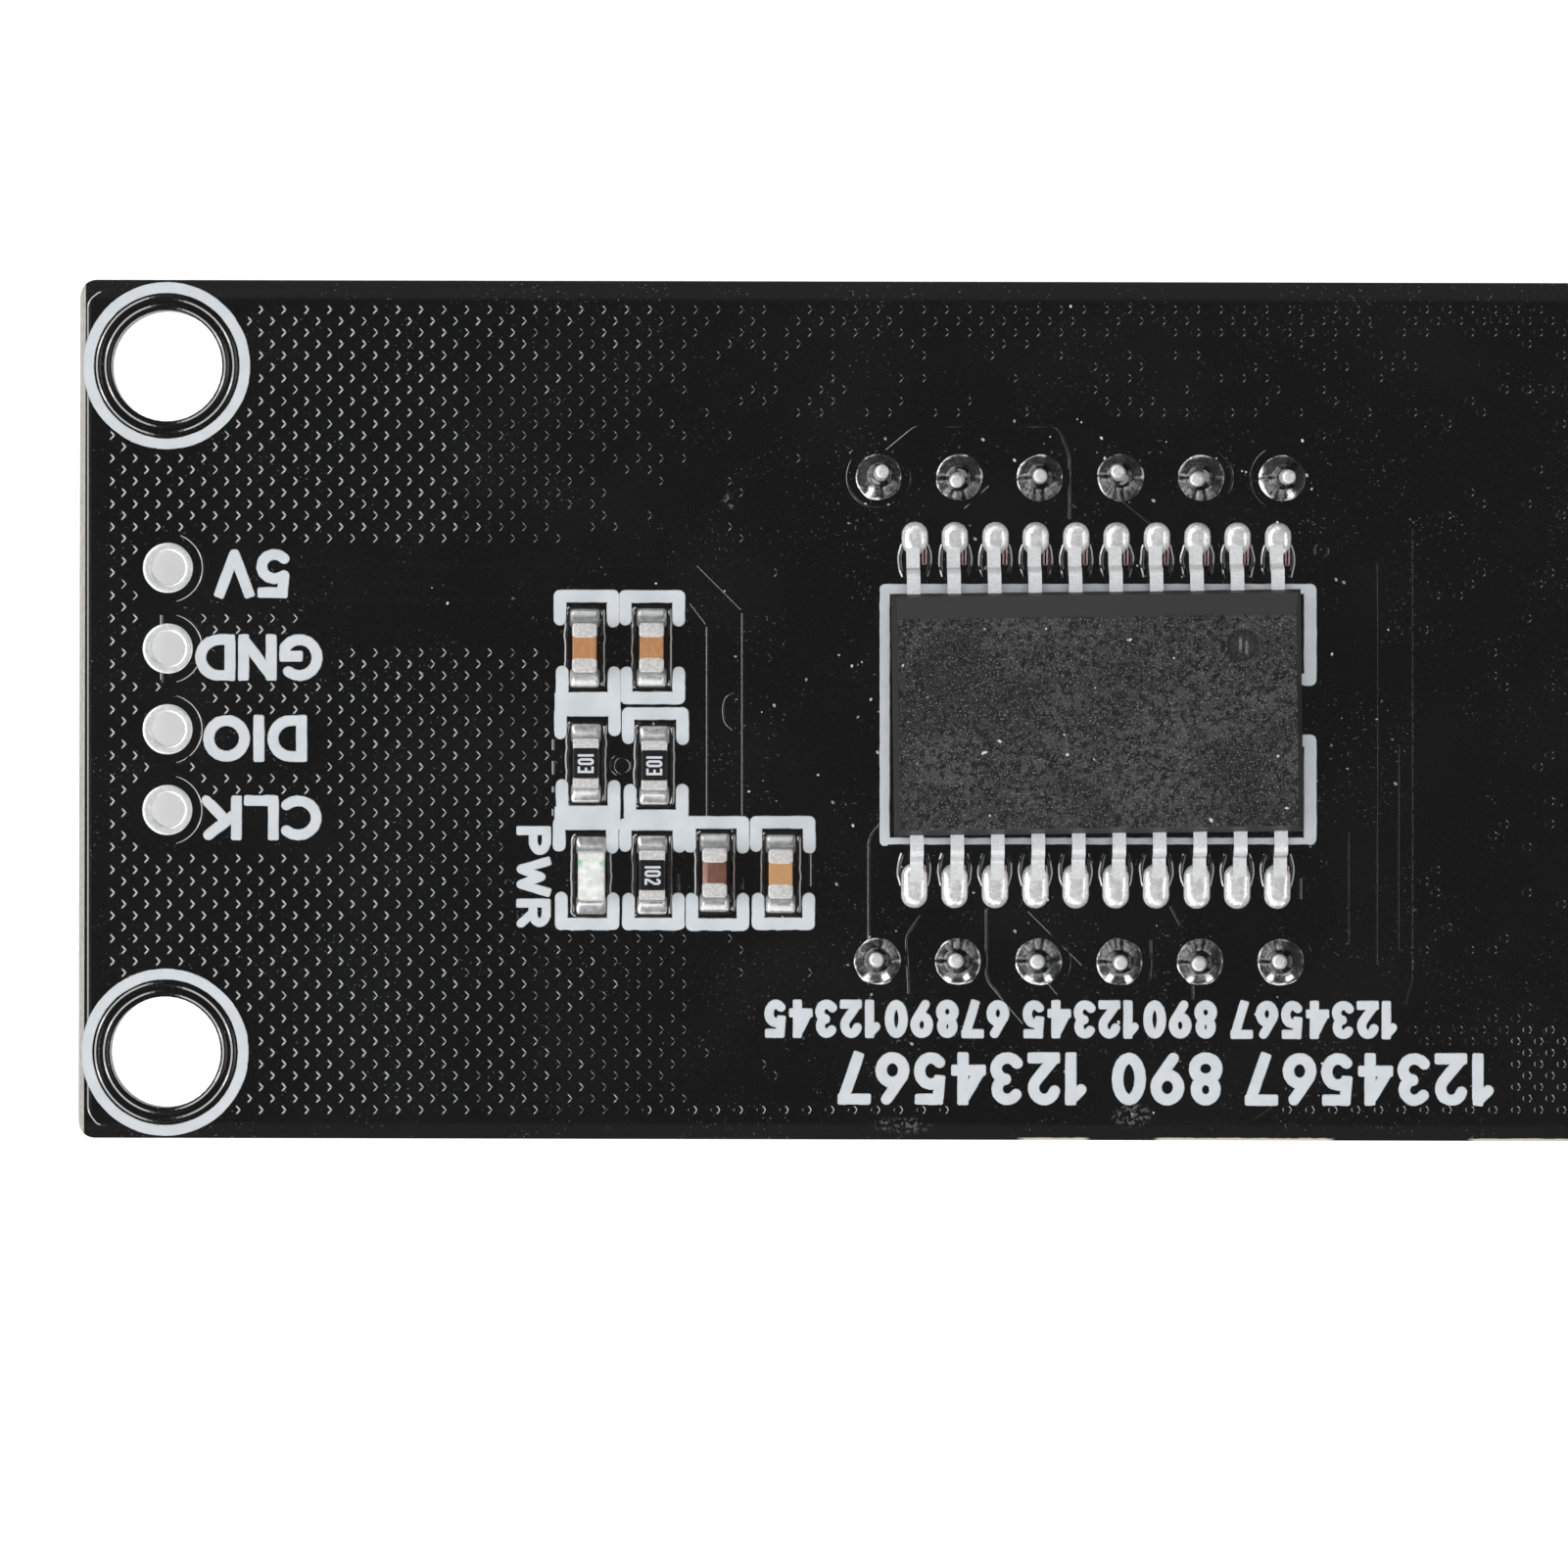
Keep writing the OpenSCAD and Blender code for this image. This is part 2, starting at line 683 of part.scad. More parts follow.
// A frame that runs just inside the two rows of pads, open beside the first lead
module driver_frame() {
    half_l = case_l / 2 + driver_frame_gap + driver_bar;
    half_w = lead_pad_in - driver_frame_clear;
    difference() {
        square([2 * half_l, 2 * half_w], center = true);
        square([2 * (half_l - driver_bar), 2 * (half_w - driver_line)], center = true);
        translate([half_l - driver_bar - eps, -driver_notch / 2])
            square([driver_bar + 2 * eps, driver_notch]);
    }
}

board();
header_pad(0);  // header_pad_1
header_pad(1);  // header_pad_2
header_pad(2);  // header_pad_3
header_pad(3);  // header_pad_4
display_shell();
display_inner_board();
display_back_resin();
digit_segments(0);  // digit_1_segments
digit_segments(1);  // digit_2_segments
digit_segments(2);  // digit_3_segments
digit_segments(3);  // digit_4_segments
colon_dots();
light_dies();
display_pin(0);  // display_pin_01
display_pin(1);  // display_pin_02
display_pin(2);  // display_pin_03
display_pin(3);  // display_pin_04
display_pin(4);  // display_pin_05
display_pin(5);  // display_pin_06
display_pin(6);  // display_pin_07
display_pin(7);  // display_pin_08
display_pin(8);  // display_pin_09
display_pin(9);  // display_pin_10
display_pin(10);  // display_pin_11
display_pin(11);  // display_pin_12
for (i = [0 : PIN_COLUMNS - 1]) pin_solder(i);  // pin_solder_upper
for (i = [PIN_COLUMNS : 2 * PIN_COLUMNS - 1]) pin_solder(i);  // pin_solder_lower
driver_case();
driver_leads(1);  // driver_leads_upper
driver_leads(-1);  // driver_leads_lower
driver_solder(1);  // driver_solder_upper
driver_solder(-1);  // driver_solder_lower
capacitor_body(0);  // capacitor_1_body
capacitor_body(1);  // capacitor_2_body
capacitor_body(2);  // capacitor_3_body
capacitor_body(3);  // capacitor_4_body
capacitor_terminals(0);  // capacitor_1_terminals
capacitor_terminals(1);  // capacitor_2_terminals
capacitor_terminals(2);  // capacitor_3_terminals
capacitor_terminals(3);  // capacitor_4_terminals
resistor_body(0);  // resistor_1_body
resistor_body(1);  // resistor_2_body
resistor_body(2);  // resistor_3_body
resistor_coating(0);  // resistor_1_coating
resistor_coating(1);  // resistor_2_coating
resistor_coating(2);  // resistor_3_coating
resistor_terminals(0);  // resistor_1_terminals
resistor_terminals(1);  // resistor_2_terminals
resistor_terminals(2);  // resistor_3_terminals
indicator_base();
indicator_lens();
indicator_terminals();
capacitor_solder();
resistor_solder();
indicator_solder();
board_print();
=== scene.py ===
# %% [markdown]
# # Seven segment display module
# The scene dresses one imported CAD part: a black circuit board that lies face down, so that the
# display under it faces the floor and the soldered back faces the camera.
# Positions are written in millimetres of the board's own frame and turned to metres once, where
# a mesh is made, because the real sizes are easier to compare with a ruler that way.

# %% set up
import bpy
import bmesh
import json
import math
import random
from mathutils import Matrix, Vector, geometry, noise


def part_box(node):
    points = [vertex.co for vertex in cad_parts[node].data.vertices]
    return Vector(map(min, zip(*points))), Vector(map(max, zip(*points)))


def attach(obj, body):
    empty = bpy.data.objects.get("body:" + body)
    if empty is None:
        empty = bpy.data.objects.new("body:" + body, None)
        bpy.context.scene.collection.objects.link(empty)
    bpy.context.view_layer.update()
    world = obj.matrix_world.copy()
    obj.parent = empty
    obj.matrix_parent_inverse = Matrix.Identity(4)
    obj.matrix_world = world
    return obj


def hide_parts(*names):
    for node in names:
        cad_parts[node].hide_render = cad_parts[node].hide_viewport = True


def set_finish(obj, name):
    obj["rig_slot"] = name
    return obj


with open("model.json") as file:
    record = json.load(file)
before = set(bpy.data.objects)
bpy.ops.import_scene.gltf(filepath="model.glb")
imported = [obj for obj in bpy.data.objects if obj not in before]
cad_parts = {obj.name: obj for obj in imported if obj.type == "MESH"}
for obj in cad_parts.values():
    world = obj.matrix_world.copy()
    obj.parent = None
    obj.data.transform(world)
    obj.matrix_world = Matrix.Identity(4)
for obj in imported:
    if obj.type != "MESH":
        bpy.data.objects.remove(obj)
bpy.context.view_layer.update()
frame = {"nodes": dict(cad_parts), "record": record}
NODES = frame["nodes"]
MM = 0.001
BOARD_T = 1.6
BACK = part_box("board")[1].z / MM
TURN = 0.0023
print("CAD nodes", len(NODES), "board back at", round(BACK, 3), "mm")

# %% [markdown]
# ## Drawing sheet
# Small features were measured on a sheet with 32.45 units to a millimetre, whose first axis runs
# to the right and second axis runs down. One function turns a spot of that sheet into board
# millimetres, so a list of corners can be read off and typed without working anything out.

# %% sheet to board
UNITS = 32.45
CENTRE = (1102.4, 726.0)


def at(u, v):
    du = u - CENTRE[0]
    dv = v - CENTRE[1]
    return ((du + TURN * dv) / UNITS, (TURN * du - dv) / UNITS)


def path_at(*pairs):
    return [at(u, v) for u, v in pairs]


print("sheet centre", at(800, 800))

# %% [markdown]
# ## Shader sockets
# Procedural materials are mostly arithmetic, which is hard to follow as node links. This class
# wraps one output socket and overloads the operators, so that shader maths reads like a formula.
# Vectors and colours go through their own nodes, and any other node is made by one method that
# takes its type, its settings and its inputs.

# %% socket class
class Sock:
    def __init__(self, tree, socket):
        self.tree = tree
        self.socket = socket

    def _math(self, kind, a, b=0.0, clamp=False):
        sets = {"operation": kind, "use_clamp": clamp}
        return new_node(self.tree, "ShaderNodeMath", sets, {0: a, 1: b})[0]

    def abs(self):
        return self._math("ABSOLUTE", self)

    def clamp(self):
        return self._math("ADD", self, clamp=True)

    def larger(self, other):
        return self._math("MAXIMUM", self, other)

    def step(self, low, high):
        """0 below low, 1 above high, smooth between."""
        return new_node(self.tree, "ShaderNodeMapRange", {"interpolation_type": "SMOOTHSTEP"},
                        {"Value": self, "From Min": low, "From Max": high})["Result"]


def overload(name, kind):
    """Gives sockets one operator, and its reflected form for a number on the left."""
    def forward(self, other):
        return self._math(kind, self, other)

    def reflected(self, other):
        return self._math(kind, other, self)

    setattr(Sock, f"__{name}__", forward)
    setattr(Sock, f"__r{name}__", reflected)


for name, kind in (("add", "ADD"), ("sub", "SUBTRACT"), ("mul", "MULTIPLY"), ("truediv", "DIVIDE")):
    overload(name, kind)


class Outputs:
    """The output sockets of a node, wrapped when they are asked for."""
    def __init__(self, tree, made):
        self.tree = tree
        self.made = made

    def __getitem__(self, key):
        return Sock(self.tree, self.made.outputs[key])


def plug(tree, value, socket):
    if isinstance(value, Sock):
        tree.links.new(value.socket, socket)
        return
    if isinstance(value, (tuple, list)) and socket.type == "RGBA" and len(value) == 3:
        value = (*value, 1.0)
    socket.default_value = value


def new_node(tree, kind, sets=None, ins=None):
    """Any node, by its type, its settings and its inputs."""
    made = tree.nodes.new(kind)
    for key, value in (sets or {}).items():
        setattr(made, key, value)
    for key, value in (ins or {}).items():
        plug(tree, value, made.inputs[key])
    return Outputs(tree, made)


def linear(code):
    """A plain 0 to 255 colour as the linear value that renders as that colour."""
    parts = [c / 255 for c in code]
    return tuple(c / 12.92 if c <= 0.04045 else ((c + 0.055) / 1.055) ** 2.4 for c in parts)


print("sockets ready")

# %% [markdown]
# ## Materials
# Each finish is one builder: a tree with a Principled shader, the piece's own coordinates in
# millimetres, and helper methods for noise, mixing and bump. Object coordinates are used
# everywhere, since every finished piece has its origin at the board's origin, so grain and wear
# stay put and don't repeat from piece to piece.

# %% finish builder
class Finish:
    def __init__(self, name, **constants):
        self.material = bpy.data.materials.new(name)
        self.material.use_nodes = True
        self.tree = self.material.node_tree
        self.shader = self.tree.nodes["Principled BSDF"]
        self.set(**constants)
        place = self.node("ShaderNodeTexCoord")["Object"]
        self.mm = self.node("ShaderNodeVectorMath", {"operation": "SCALE"},
                            {0: place, "Scale": 1 / MM})["Vector"]
        parts = self.node("ShaderNodeSeparateXYZ", ins={0: self.mm})
        self.x, self.y, self.z = parts[0], parts[1], parts[2]

    def node(self, kind, sets=None, ins=None):
        return new_node(self.tree, kind, sets, ins)

    def mix(self, amount, a, b):
        return self.node("ShaderNodeMix", {"data_type": "RGBA"}, {0: amount, 6: a, 7: b})[2]

    def tint(self, amount, a, b):
        """A mix of colours, where a plain 0 to 255 colour may stand for either."""
        return self.mix(amount, *(linear(c) if isinstance(c, tuple) else c for c in (a, b)))

    def noise(self, size, detail=2.0, stretch=None, rough=0.5):
        """Noise whose lumps are about size millimetres wide."""
        place = self.mm
        if stretch is not None:
            place = self.node("ShaderNodeVectorMath", {"operation": "MULTIPLY"},
                              {0: place, 1: stretch})["Vector"]
        return self.node("ShaderNodeTexNoise", ins={
            "Vector": place, "Scale": 1.0 / size, "Detail": detail, "Roughness": rough})["Fac"]

    def set(self, **inputs):
        for key, value in inputs.items():
            plug(self.tree, value, self.shader.inputs[key.replace("_", " ")])

    def done(self, colour, rough, height, depth):
        """The material, with a bump in which height 0 to 1 stands for depth millimetres."""
        normal = self.node("ShaderNodeBump", ins={
            "Height": height, "Distance": depth * MM, "Strength": 1.0})["Normal"]
        self.set(Base_Color=colour, Roughness=rough, Normal=normal)
        return self.material


print("finish builder ready")

# %% [markdown]
# ## Board mask
# The board is fibreglass laminate with a glossy black solder mask on both faces. The mask is
# only on the flat faces: the edges and the hole walls show the cut laminate. So one material on
# the CAD board picks the finish by height. It lets the mask grow a little lighter toward the
# long edges, where the copper pour ends, and chips it off along a part of the front edge.

# %% board finish
MASK_SKIN = (0.004, 0.012)
SMUDGES = [(1156, 1139, 0.75, 0.45), (921, 1149, 1.1, 0.3), (744, 512, 0.3, 0.3)]


def board_finish():
    f = Finish("black_laminate", Specular_IOR_Level=1.0, IOR=1.62)
    thin, thick = MASK_SKIN
    top = f.z.step(BACK - thick, BACK - thin)
    low = 1.0 - f.z.step(BACK - BOARD_T + thin, BACK - BOARD_T + thick)
    mask = (top + low).clamp()
    side = f.y.step(12.86, 13.0) + (1.0 - f.y.step(-13.1, -12.96)) * 0.7
    tint = f.tint(side, (6, 6, 7), (27, 27, 27))
    deep = f.noise(5.0, 4.0)
    tint = f.tint(deep.step(0.4, 0.75) * 0.6, tint, (17, 17, 18))
    grain = f.noise(0.055, 3.0, rough=0.7)
    tint = f.tint(grain.step(0.52, 0.70) * 0.5, tint, (36, 36, 37))
    specks = f.noise(0.09, 1.0).step(0.68, 0.76) * f.noise(1.7, 3.0).step(0.42, 0.62)
    tint = f.tint(specks * 0.55, tint, (120, 120, 122))
    weave = f.noise(0.09, 2.0, (1.0, 0.35, 1.0))
    cut = f.tint(weave.step(0.3, 0.7), (172, 169, 163), (198, 195, 189))
    for u, v, wide, tall in SMUDGES:
        x, y = at(u, v)
        across = (f.x - x) / wide
        along = (f.y - y) / tall
        smudge = 1.0 - (across * across + along * along).step(0.2, 1.0)
        smudge = smudge * f.noise(0.13, 3.0).step(0.5, 0.62)
        tint = f.tint(smudge * 0.6, tint, (112, 112, 110))
    worn = (f.x.step(-2.0, -1.6) * (1.0 - f.x.step(0.1, 0.4) + f.x.step(2.3, 2.6))
            * (1.0 - f.x.step(7.8, 8.1) + f.x.step(12.2, 12.5)))
    worn = worn * (1.0 - (f.y + f.noise(0.25, 3.0) * 0.06).step(-13.42, -13.38))
    tint = f.tint(worn, tint, (214, 206, 186))
    rough = f.mix(mask, (0.75,) * 3, f.mix(deep, (0.1,) * 3, (0.2,) * 3))
    ripple = f.noise(0.16, 2.0) * 0.6 + f.noise(0.05, 1.0) * 0.4
    return f.done(f.tint(mask, cut, tint), rough, ripple, 0.0012)


def plain(name, dark, light, rough, size=0.4, metal=0.0, spread=0.06):
    """A finish with a mottled colour between two tones and a little roughness variation."""
    f = Finish(name, Metallic=metal)
    grain = f.noise(size, 3.0)
    colour = f.tint(grain.step(0.3, 0.7), dark, light)
    roughness = (grain * spread + (rough - spread * 0.5)).clamp()
    return f.done(colour, roughness, f.noise(size * 0.15, 2.0), 0.002)


PLAIN = {
    "green_laminate": ((38, 92, 52), (60, 120, 70), 0.4),
    "tinned_copper": ((226, 227, 228), (242, 243, 244), 0.34, 0.12, 0.4),
    "back_resin": ((222, 214, 190), (236, 230, 210), 0.25, 1.5),
    "milky_resin": ((232, 230, 224), (242, 241, 236), 0.3, 1.0),
    "die": ((180, 60, 50), (220, 90, 70), 0.3, 0.2),
    "pin_metal": ((214, 213, 211), (240, 239, 238), 0.4, 0.08, 0.4),
    "tinned_terminal": ((196, 195, 193), (226, 225, 223), 0.38, 0.09, 0.2),
    "black_coating": ((20, 20, 22), (34, 34, 36), 0.35, 0.12),
    "white_ceramic": ((214, 212, 206), (232, 230, 224), 0.6, 0.1),
    "lamp_base": ((206, 208, 202), (224, 226, 220), 0.5, 0.1),
    "white_ink.faint": ((70, 70, 72), (190, 190, 190), 0.6, 0.5),
    "white_ink": ((208, 214, 218), (216, 221, 225), 0.6, 0.5, 0.0, 0.1),
}
LOOKS = {name: plain(name, *row) for name, row in PLAIN.items()}
LOOKS["black_laminate"] = board_finish()
print("plain finishes", len(PLAIN))

# %% [markdown]
# The rest need more than two tones. The driver's moulding is stippled by the mould: dark grains
# with sparse bright ones, and a smooth band along its bevel. The ceramics change tone from part
# to part, the lamp shows a green glint at two corners, solder goes from mirror to frost, and the
# display's shell has its face painted black.

# %% special finishes
CASE_TOP = 12.07


def moulding():
    f = Finish("case_moulding", Specular_IOR_Level=0.4)
    top = f.z.step(CASE_TOP - 0.05, CASE_TOP - 0.004)
    coarse = f.noise(0.20, 5.0, rough=0.8)
    fine = f.noise(0.06, 3.0, rough=0.75)
    cloud = f.noise(2.2, 4.0)
    base = f.tint(cloud.step(0.38, 0.64), (35, 35, 36), (66, 66, 67))
    dark = f.tint(coarse.step(0.46, 0.55), base, (6, 6, 7))
    colour = f.tint(fine.step(0.56, 0.66) * 0.8, dark, (140, 140, 142))
    colour = f.tint(f.noise(0.30, 1.0).step(0.76, 0.80), colour, (205, 205, 205))
    colour = f.tint(top, f.tint(cloud, (46, 46, 47), (54, 54, 55)), colour)
    mark_x, mark_y = at(1268.0, 659.0)
    dx = f.x - mark_x
    dy = f.y - mark_y
    mark = 1.0 - (dx * dx + dy * dy).step(0.2, 0.3)
    colour = f.tint(mark, colour, f.tint(fine.step(0.4, 0.6), (22, 22, 23), (58, 58, 59)))
    # painted highlight: two bright upright strokes on the walls of the dimple, as if they caught the
    # side lamps
    stroke = 1.0 - ((dx + 0.02).abs() - 0.1).abs().step(0.02, 0.06)
    stroke = stroke * (1.0 - (dy + 0.05 + dx * 0.5).abs().step(0.10, 0.28)) * fine.step(0.35, 0.55)
    colour = f.tint(stroke * 0.9, colour, (132, 132, 134))
    height = (coarse * 0.5 + fine * 0.5) * f.mix(top, (0.15,) * 3, (1.0,) * 3)
    return f.done(colour, 0.66 - coarse * 0.2, height, 0.03)


def ceramic(name, left, right, split, shade):
    """Fired ceramic in two tones either side of a position along x."""
    f = Finish(name)
    base = f.tint(f.x.step(split - 0.05, split + 0.05), left, right)
    grain = f.noise(0.07, 3.0, (1.0, 0.25, 1.0))
    colour = f.tint(grain.step(0.35, 0.7) * 0.5, base, shade)
    return f.done(colour, 0.42 + grain * 0.15, grain, 0.004)


def lead():
    """Tinned leads, with a shadow painted where the foot bends up toward the case."""
    f = Finish("lead_metal", Metallic=0.25)
    grain = f.noise(0.08, 3.0)
    bright = f.tint(grain.step(0.3, 0.7), (228, 229, 230), (246, 247, 248))
    # painted shade: a grey band low on the lead where the foot bends up toward the case
    bend_shadow = 1.0 - ((f.y + 0.08).abs() - 4.42).abs().step(0.06, 0.2)
    bend_shadow = bend_shadow * (1.0 - f.z.step(BACK + 0.7, BACK + 0.9)) * f.noise(0.25, 2.0).step(0.2, 0.5)
    colour = f.tint(bend_shadow * 0.75, bright, (138, 138, 138))
    return f.done(colour, 0.37 + grain * 0.06, f.noise(0.012, 2.0), 0.002)


def lens():
    f = Finish("lamp_lens", Coat_Weight=0.5, Coat_Roughness=0.1)
    cloud = f.noise(0.25, 3.0)
    base = f.tint(cloud.step(0.35, 0.7), (222, 224, 218), (250, 251, 246))
    low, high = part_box("indicator_lens")
    tip = high.y / MM
    end = f.y.step(tip - 0.34, tip - 0.12) * (1.0 - f.y.step(tip - 0.1, tip))
    side = (f.x - (low.x + high.x) / 2 / MM).abs().step(0.20, 0.34)
    glint = end * side * f.noise(0.12, 2.0).step(0.3, 0.55)
    colour = f.tint(glint * 0.9, base, (70, 190, 140))
    return f.done(colour, 0.3 + cloud * 0.15, cloud, 0.01)


def solder(name, dark, light, low_rough, high_rough, metal, lumps):
    f = Finish(name, Metallic=metal)
    frost = f.noise(0.22, 4.0, rough=0.65)
    colour = f.tint(frost.step(0.35, 0.65), dark, light)
    flux = f.noise(0.7, 2.0).step(0.62, 0.75)
    colour = f.tint(flux * 0.25, colour, tuple(c * 0.75 for c in dark))
    rough = low_rough + frost.step(0.4, 0.7) * (high_rough - low_rough)
    return f.done(colour, rough, frost * 0.7 + f.noise(0.05, 2.0) * 0.3, lumps)


def shell_finish():
    f = Finish("shell_plastic")
    painted = 1.0 - f.z.step(0.004, 0.02)
    grain = f.noise(0.5, 3.0)
    body = f.tint(grain.step(0.2, 0.8), (227, 227, 224), (232, 232, 229))
    paint = f.tint(grain.step(0.3, 0.7), (20, 20, 21), (27, 27, 28))
    colour = f.tint(painted, body, paint)
    return f.done(colour, 0.4 + grain * 0.12, f.noise(0.08, 2.0), 0.004)


SOLDERS = {
    "solder": ((244, 244, 244), (255, 255, 255), 0.2, 0.38, 0.42, 0.016),
    "solder.fillet": ((186, 186, 186), (216, 216, 216), 0.28, 0.4, 0.7, 0.002),
    "solder.dark": ((146, 146, 146), (186, 186, 186), 0.14, 0.24, 1.0, 0.007),
    # a pink-tinted solder for the small drops that wet the leads
    "solder.copper": ((168, 136, 138), (204, 176, 176), 0.35, 0.5, 0.3, 0.012),
}
for name, row in SOLDERS.items():
    LOOKS[name] = solder(name, *row)
LOOKS["case_moulding"] = moulding()
LOOKS["tan_ceramic"] = ceramic("tan_ceramic", (178, 124, 78), (188, 142, 92), -12.0,
                               (200, 152, 108))
LOOKS["brown_ceramic"] = ceramic("brown_ceramic", (176, 136, 126), (104, 66, 52), -11.70,
                                 (132, 92, 76))
LOOKS["lead_metal"] = lead()
LOOKS["lamp_lens"] = lens()
LOOKS["shell_plastic"] = shell_finish()

SLOT_OF = {row["node"]: row["material_slot"] for row in frame["record"]["subparts"]}
for name, node in NODES.items():
    look = SLOT_OF[name]
    node.data.materials.clear()
    node.data.materials.append(LOOKS[look])
    node["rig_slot"] = look
print("looks", len(LOOKS), "nodes with a slot", len(SLOT_OF))

# %% [markdown]
# ## Small mesh kit
# Almost every part here is a skin through a stack of rings, a ring turned round an axis or a
# flat outline with thickness. A few helpers make those closed meshes, and one more turns the
# result into a piece that rides on the board, carries its slot and stands for a CAD node.

# %% mesh kit
def placed(name, data):
    """A new object in the scene that shows the data."""
    thing = bpy.data.objects.new(name, data)
    bpy.context.scene.collection.objects.link(thing)
    return thing


def adopt(thing, look, *nodes):
    """Dresses and mounts a piece. A look such as solder.dark is a variant in the slot solder."""
    thing.data.materials.clear()
    thing.data.materials.append(LOOKS[look])
    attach(thing, "root")
    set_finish(thing, look.split(".")[0])
    if nodes:
        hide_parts(*nodes)
    return thing


def modelled(name, shells, crease=180):
    """An object from closed shells, each a list of points in millimetres and a list of faces."""
    mesh = bpy.data.meshes.new(name)
    points = []
    faces = []
    for shell_points, shell_faces in shells:
        base = len(points)
        points.extend((x * MM, y * MM, z * MM) for x, y, z in shell_points)
        faces.extend(tuple(base + i for i in face) for face in shell_faces)
    mesh.from_pydata(points, [], faces)
    work = bmesh.new()
    work.from_mesh(mesh)
    bmesh.ops.recalc_face_normals(work, faces=work.faces)
    work.to_mesh(mesh)
    work.free()
    mesh.shade_smooth()
    mesh.set_sharp_from_angle(angle=math.radians(crease))
    return placed(name, mesh)


def piece(name, shells, look, *nodes, crease=38):
    return adopt(modelled(name, shells, crease), look, *nodes)


def band(a, b, count):
    """Faces between two rings of count points, which start at points a and b."""
    return [(a + i, a + (i + 1) % count, b + (i + 1) % count, b + i) for i in range(count)]


def loft(rings):
    """Closed skin through rings with equal numbers of points, flat at both ends."""
    count = len(rings[0])
    points = [p for ring in rings for p in ring]
    last = len(points) - count
    faces = [face for a in range(0, last, count) for face in band(a, a + count, count)]
    faces.append(tuple(reversed(range(count))))
    faces.append(tuple(range(last, len(points))))
    return points, faces


def arc(x, y, rx, ry, start, end, parts=9):
    """Points along an arc, angles in degrees."""
    turns = [math.radians(start + (end - start) * k / parts) for k in range(parts + 1)]
    return [(x + rx * math.cos(a), y + ry * math.sin(a)) for a in turns]


def circle(x, y, radius, z, count=32):
    return [(px, py, z) for px, py in arc(x, y, radius, radius, 0, 360, count)[:-1]]


def turned(x, y, profile, count):
    """A closed profile of radius and height pairs turned round a vertical axis at x, y."""
    points = [p for radius, z in profile for p in circle(x, y, radius, z, count)]
    faces = [face for r in range(len(profile))
             for face in band(r * count, (r + 1) % len(profile) * count, count)]
    return points, faces


def rounded(x, y, half_x, half_y, corner, per):
    """Corners of a rounded rectangle, counter-clockwise."""
    return [p for sx, sy, start in ((1, -1, -90), (1, 1, 0), (-1, 1, 90), (-1, -1, 180))
            for p in arc(x + sx * (half_x - corner), y + sy * (half_y - corner), corner, corner,
                         start, start + 90, per)]


def slab(x, y, half_x, half_y, corner, z, per=5):
    return [(px, py, z) for px, py in rounded(x, y, half_x, half_y, corner, per)]


print("mesh kit ready")

# %% [markdown]
# ## White legend
# The legend is ink printed on the mask: rings round the mounting holes, brackets round the small
# parts, a frame round the driver and the labels. Ink has a little height and slightly uneven
# edges. Every line is a chain of round-ended strokes; the strokes of a shape are united in the
# plane by a constrained triangulation, then given a top, a bottom and sloping edges.

# %% strokes to ink
INK_TOP = BACK + 0.044
LIMIT = (-31.36, -13.46, 31.36, 13.46)
STEP = 0.16


def capsule(a, b, half, caps=5):
    """Outline of a round-ended stroke, counter-clockwise, with points along its sides."""
    runs = max(1, int(math.dist(a, b) / STEP))
    way = math.atan2(b[1] - a[1], b[0] - a[0])
    dx, dy = half * math.sin(way), half * math.cos(way)
    outline = []
    for end, hand, shares in ((b, 1, [k / runs for k in range(runs)]),
                              (a, -1, [1 - k / runs for k in range(1, runs)])):
        outline.extend((a[0] + (b[0] - a[0]) * t + hand * dx,
                        a[1] + (b[1] - a[1]) * t - hand * dy) for t in shares)
        turns = [way - hand * math.pi / 2 + math.pi * k / caps for k in range(caps + 1)]
        outline.extend((end[0] + half * math.cos(t), end[1] + half * math.sin(t)) for t in turns)
    return outline


def spaced(ring, step):
    """The same closed outline with points less than two steps apart."""
    out = []
    for p, q in zip(ring, ring[1:] + ring[:1]):
        runs = max(1, int(math.dist(p, q) / step))
        out.extend((p[0] + (q[0] - p[0]) * k / runs, p[1] + (q[1] - p[1]) * k / runs)
                   for k in range(runs))
    return out


def bar(a, b, half, ends=0.92):
    """Outline of a stroke with square ends and small rounded corners, counter-clockwise."""
    length = math.dist(a, b)
    c, s = (b[0] - a[0]) / length, (b[1] - a[1]) / length
    x, y = (a[0] + b[0]) / 2, (a[1] + b[1]) / 2
    outline = spaced(rounded(0, 0, length / 2 + half, half, half * ends, 3), STEP)
    return [(x + px * c - py * s, y + px * s + py * c) for px, py in outline]


def bars(points, half):
    return [bar(a, b, half) for a, b in zip(points, points[1:])]


def chain(points, half):
    return [capsule(a, b, half) for a, b in zip(points, points[1:])]


def clipped(outline, box):
    """The part of a convex outline inside an upright box."""
    for side, bound in enumerate(box):
        axis = side % 2
        sign = 1 if side < 2 else -1
        kept = []
        for p, q in zip(outline, outline[1:] + outline[:1]):
            p_in = (p[axis] - bound) * sign >= 0
            q_in = (q[axis] - bound) * sign >= 0
            if p_in:
                kept.append(p)
            if p_in != q_in:
                t = (bound - p[axis]) / (q[axis] - p[axis])
                kept.append((p[0] + (q[0] - p[0]) * t, p[1] + (q[1] - p[1]) * t))
        outline = kept
    return outline if len(outline) > 2 else []


def nudged(p, wobble):
    """A spot moved a little by smooth noise, which gives printed edges their unevenness."""
    push = noise.noise_vector(Vector((p[0] * 3.1, p[1] * 3.1, 0.3)))
    fine = noise.noise_vector(Vector((p[0] * 9.0, p[1] * 9.0, 4.0)))
    return Vector((p[0] + (push.x + fine.x * 0.6) * wobble, p[1] + (push.y + fine.y * 0.6) * wobble))


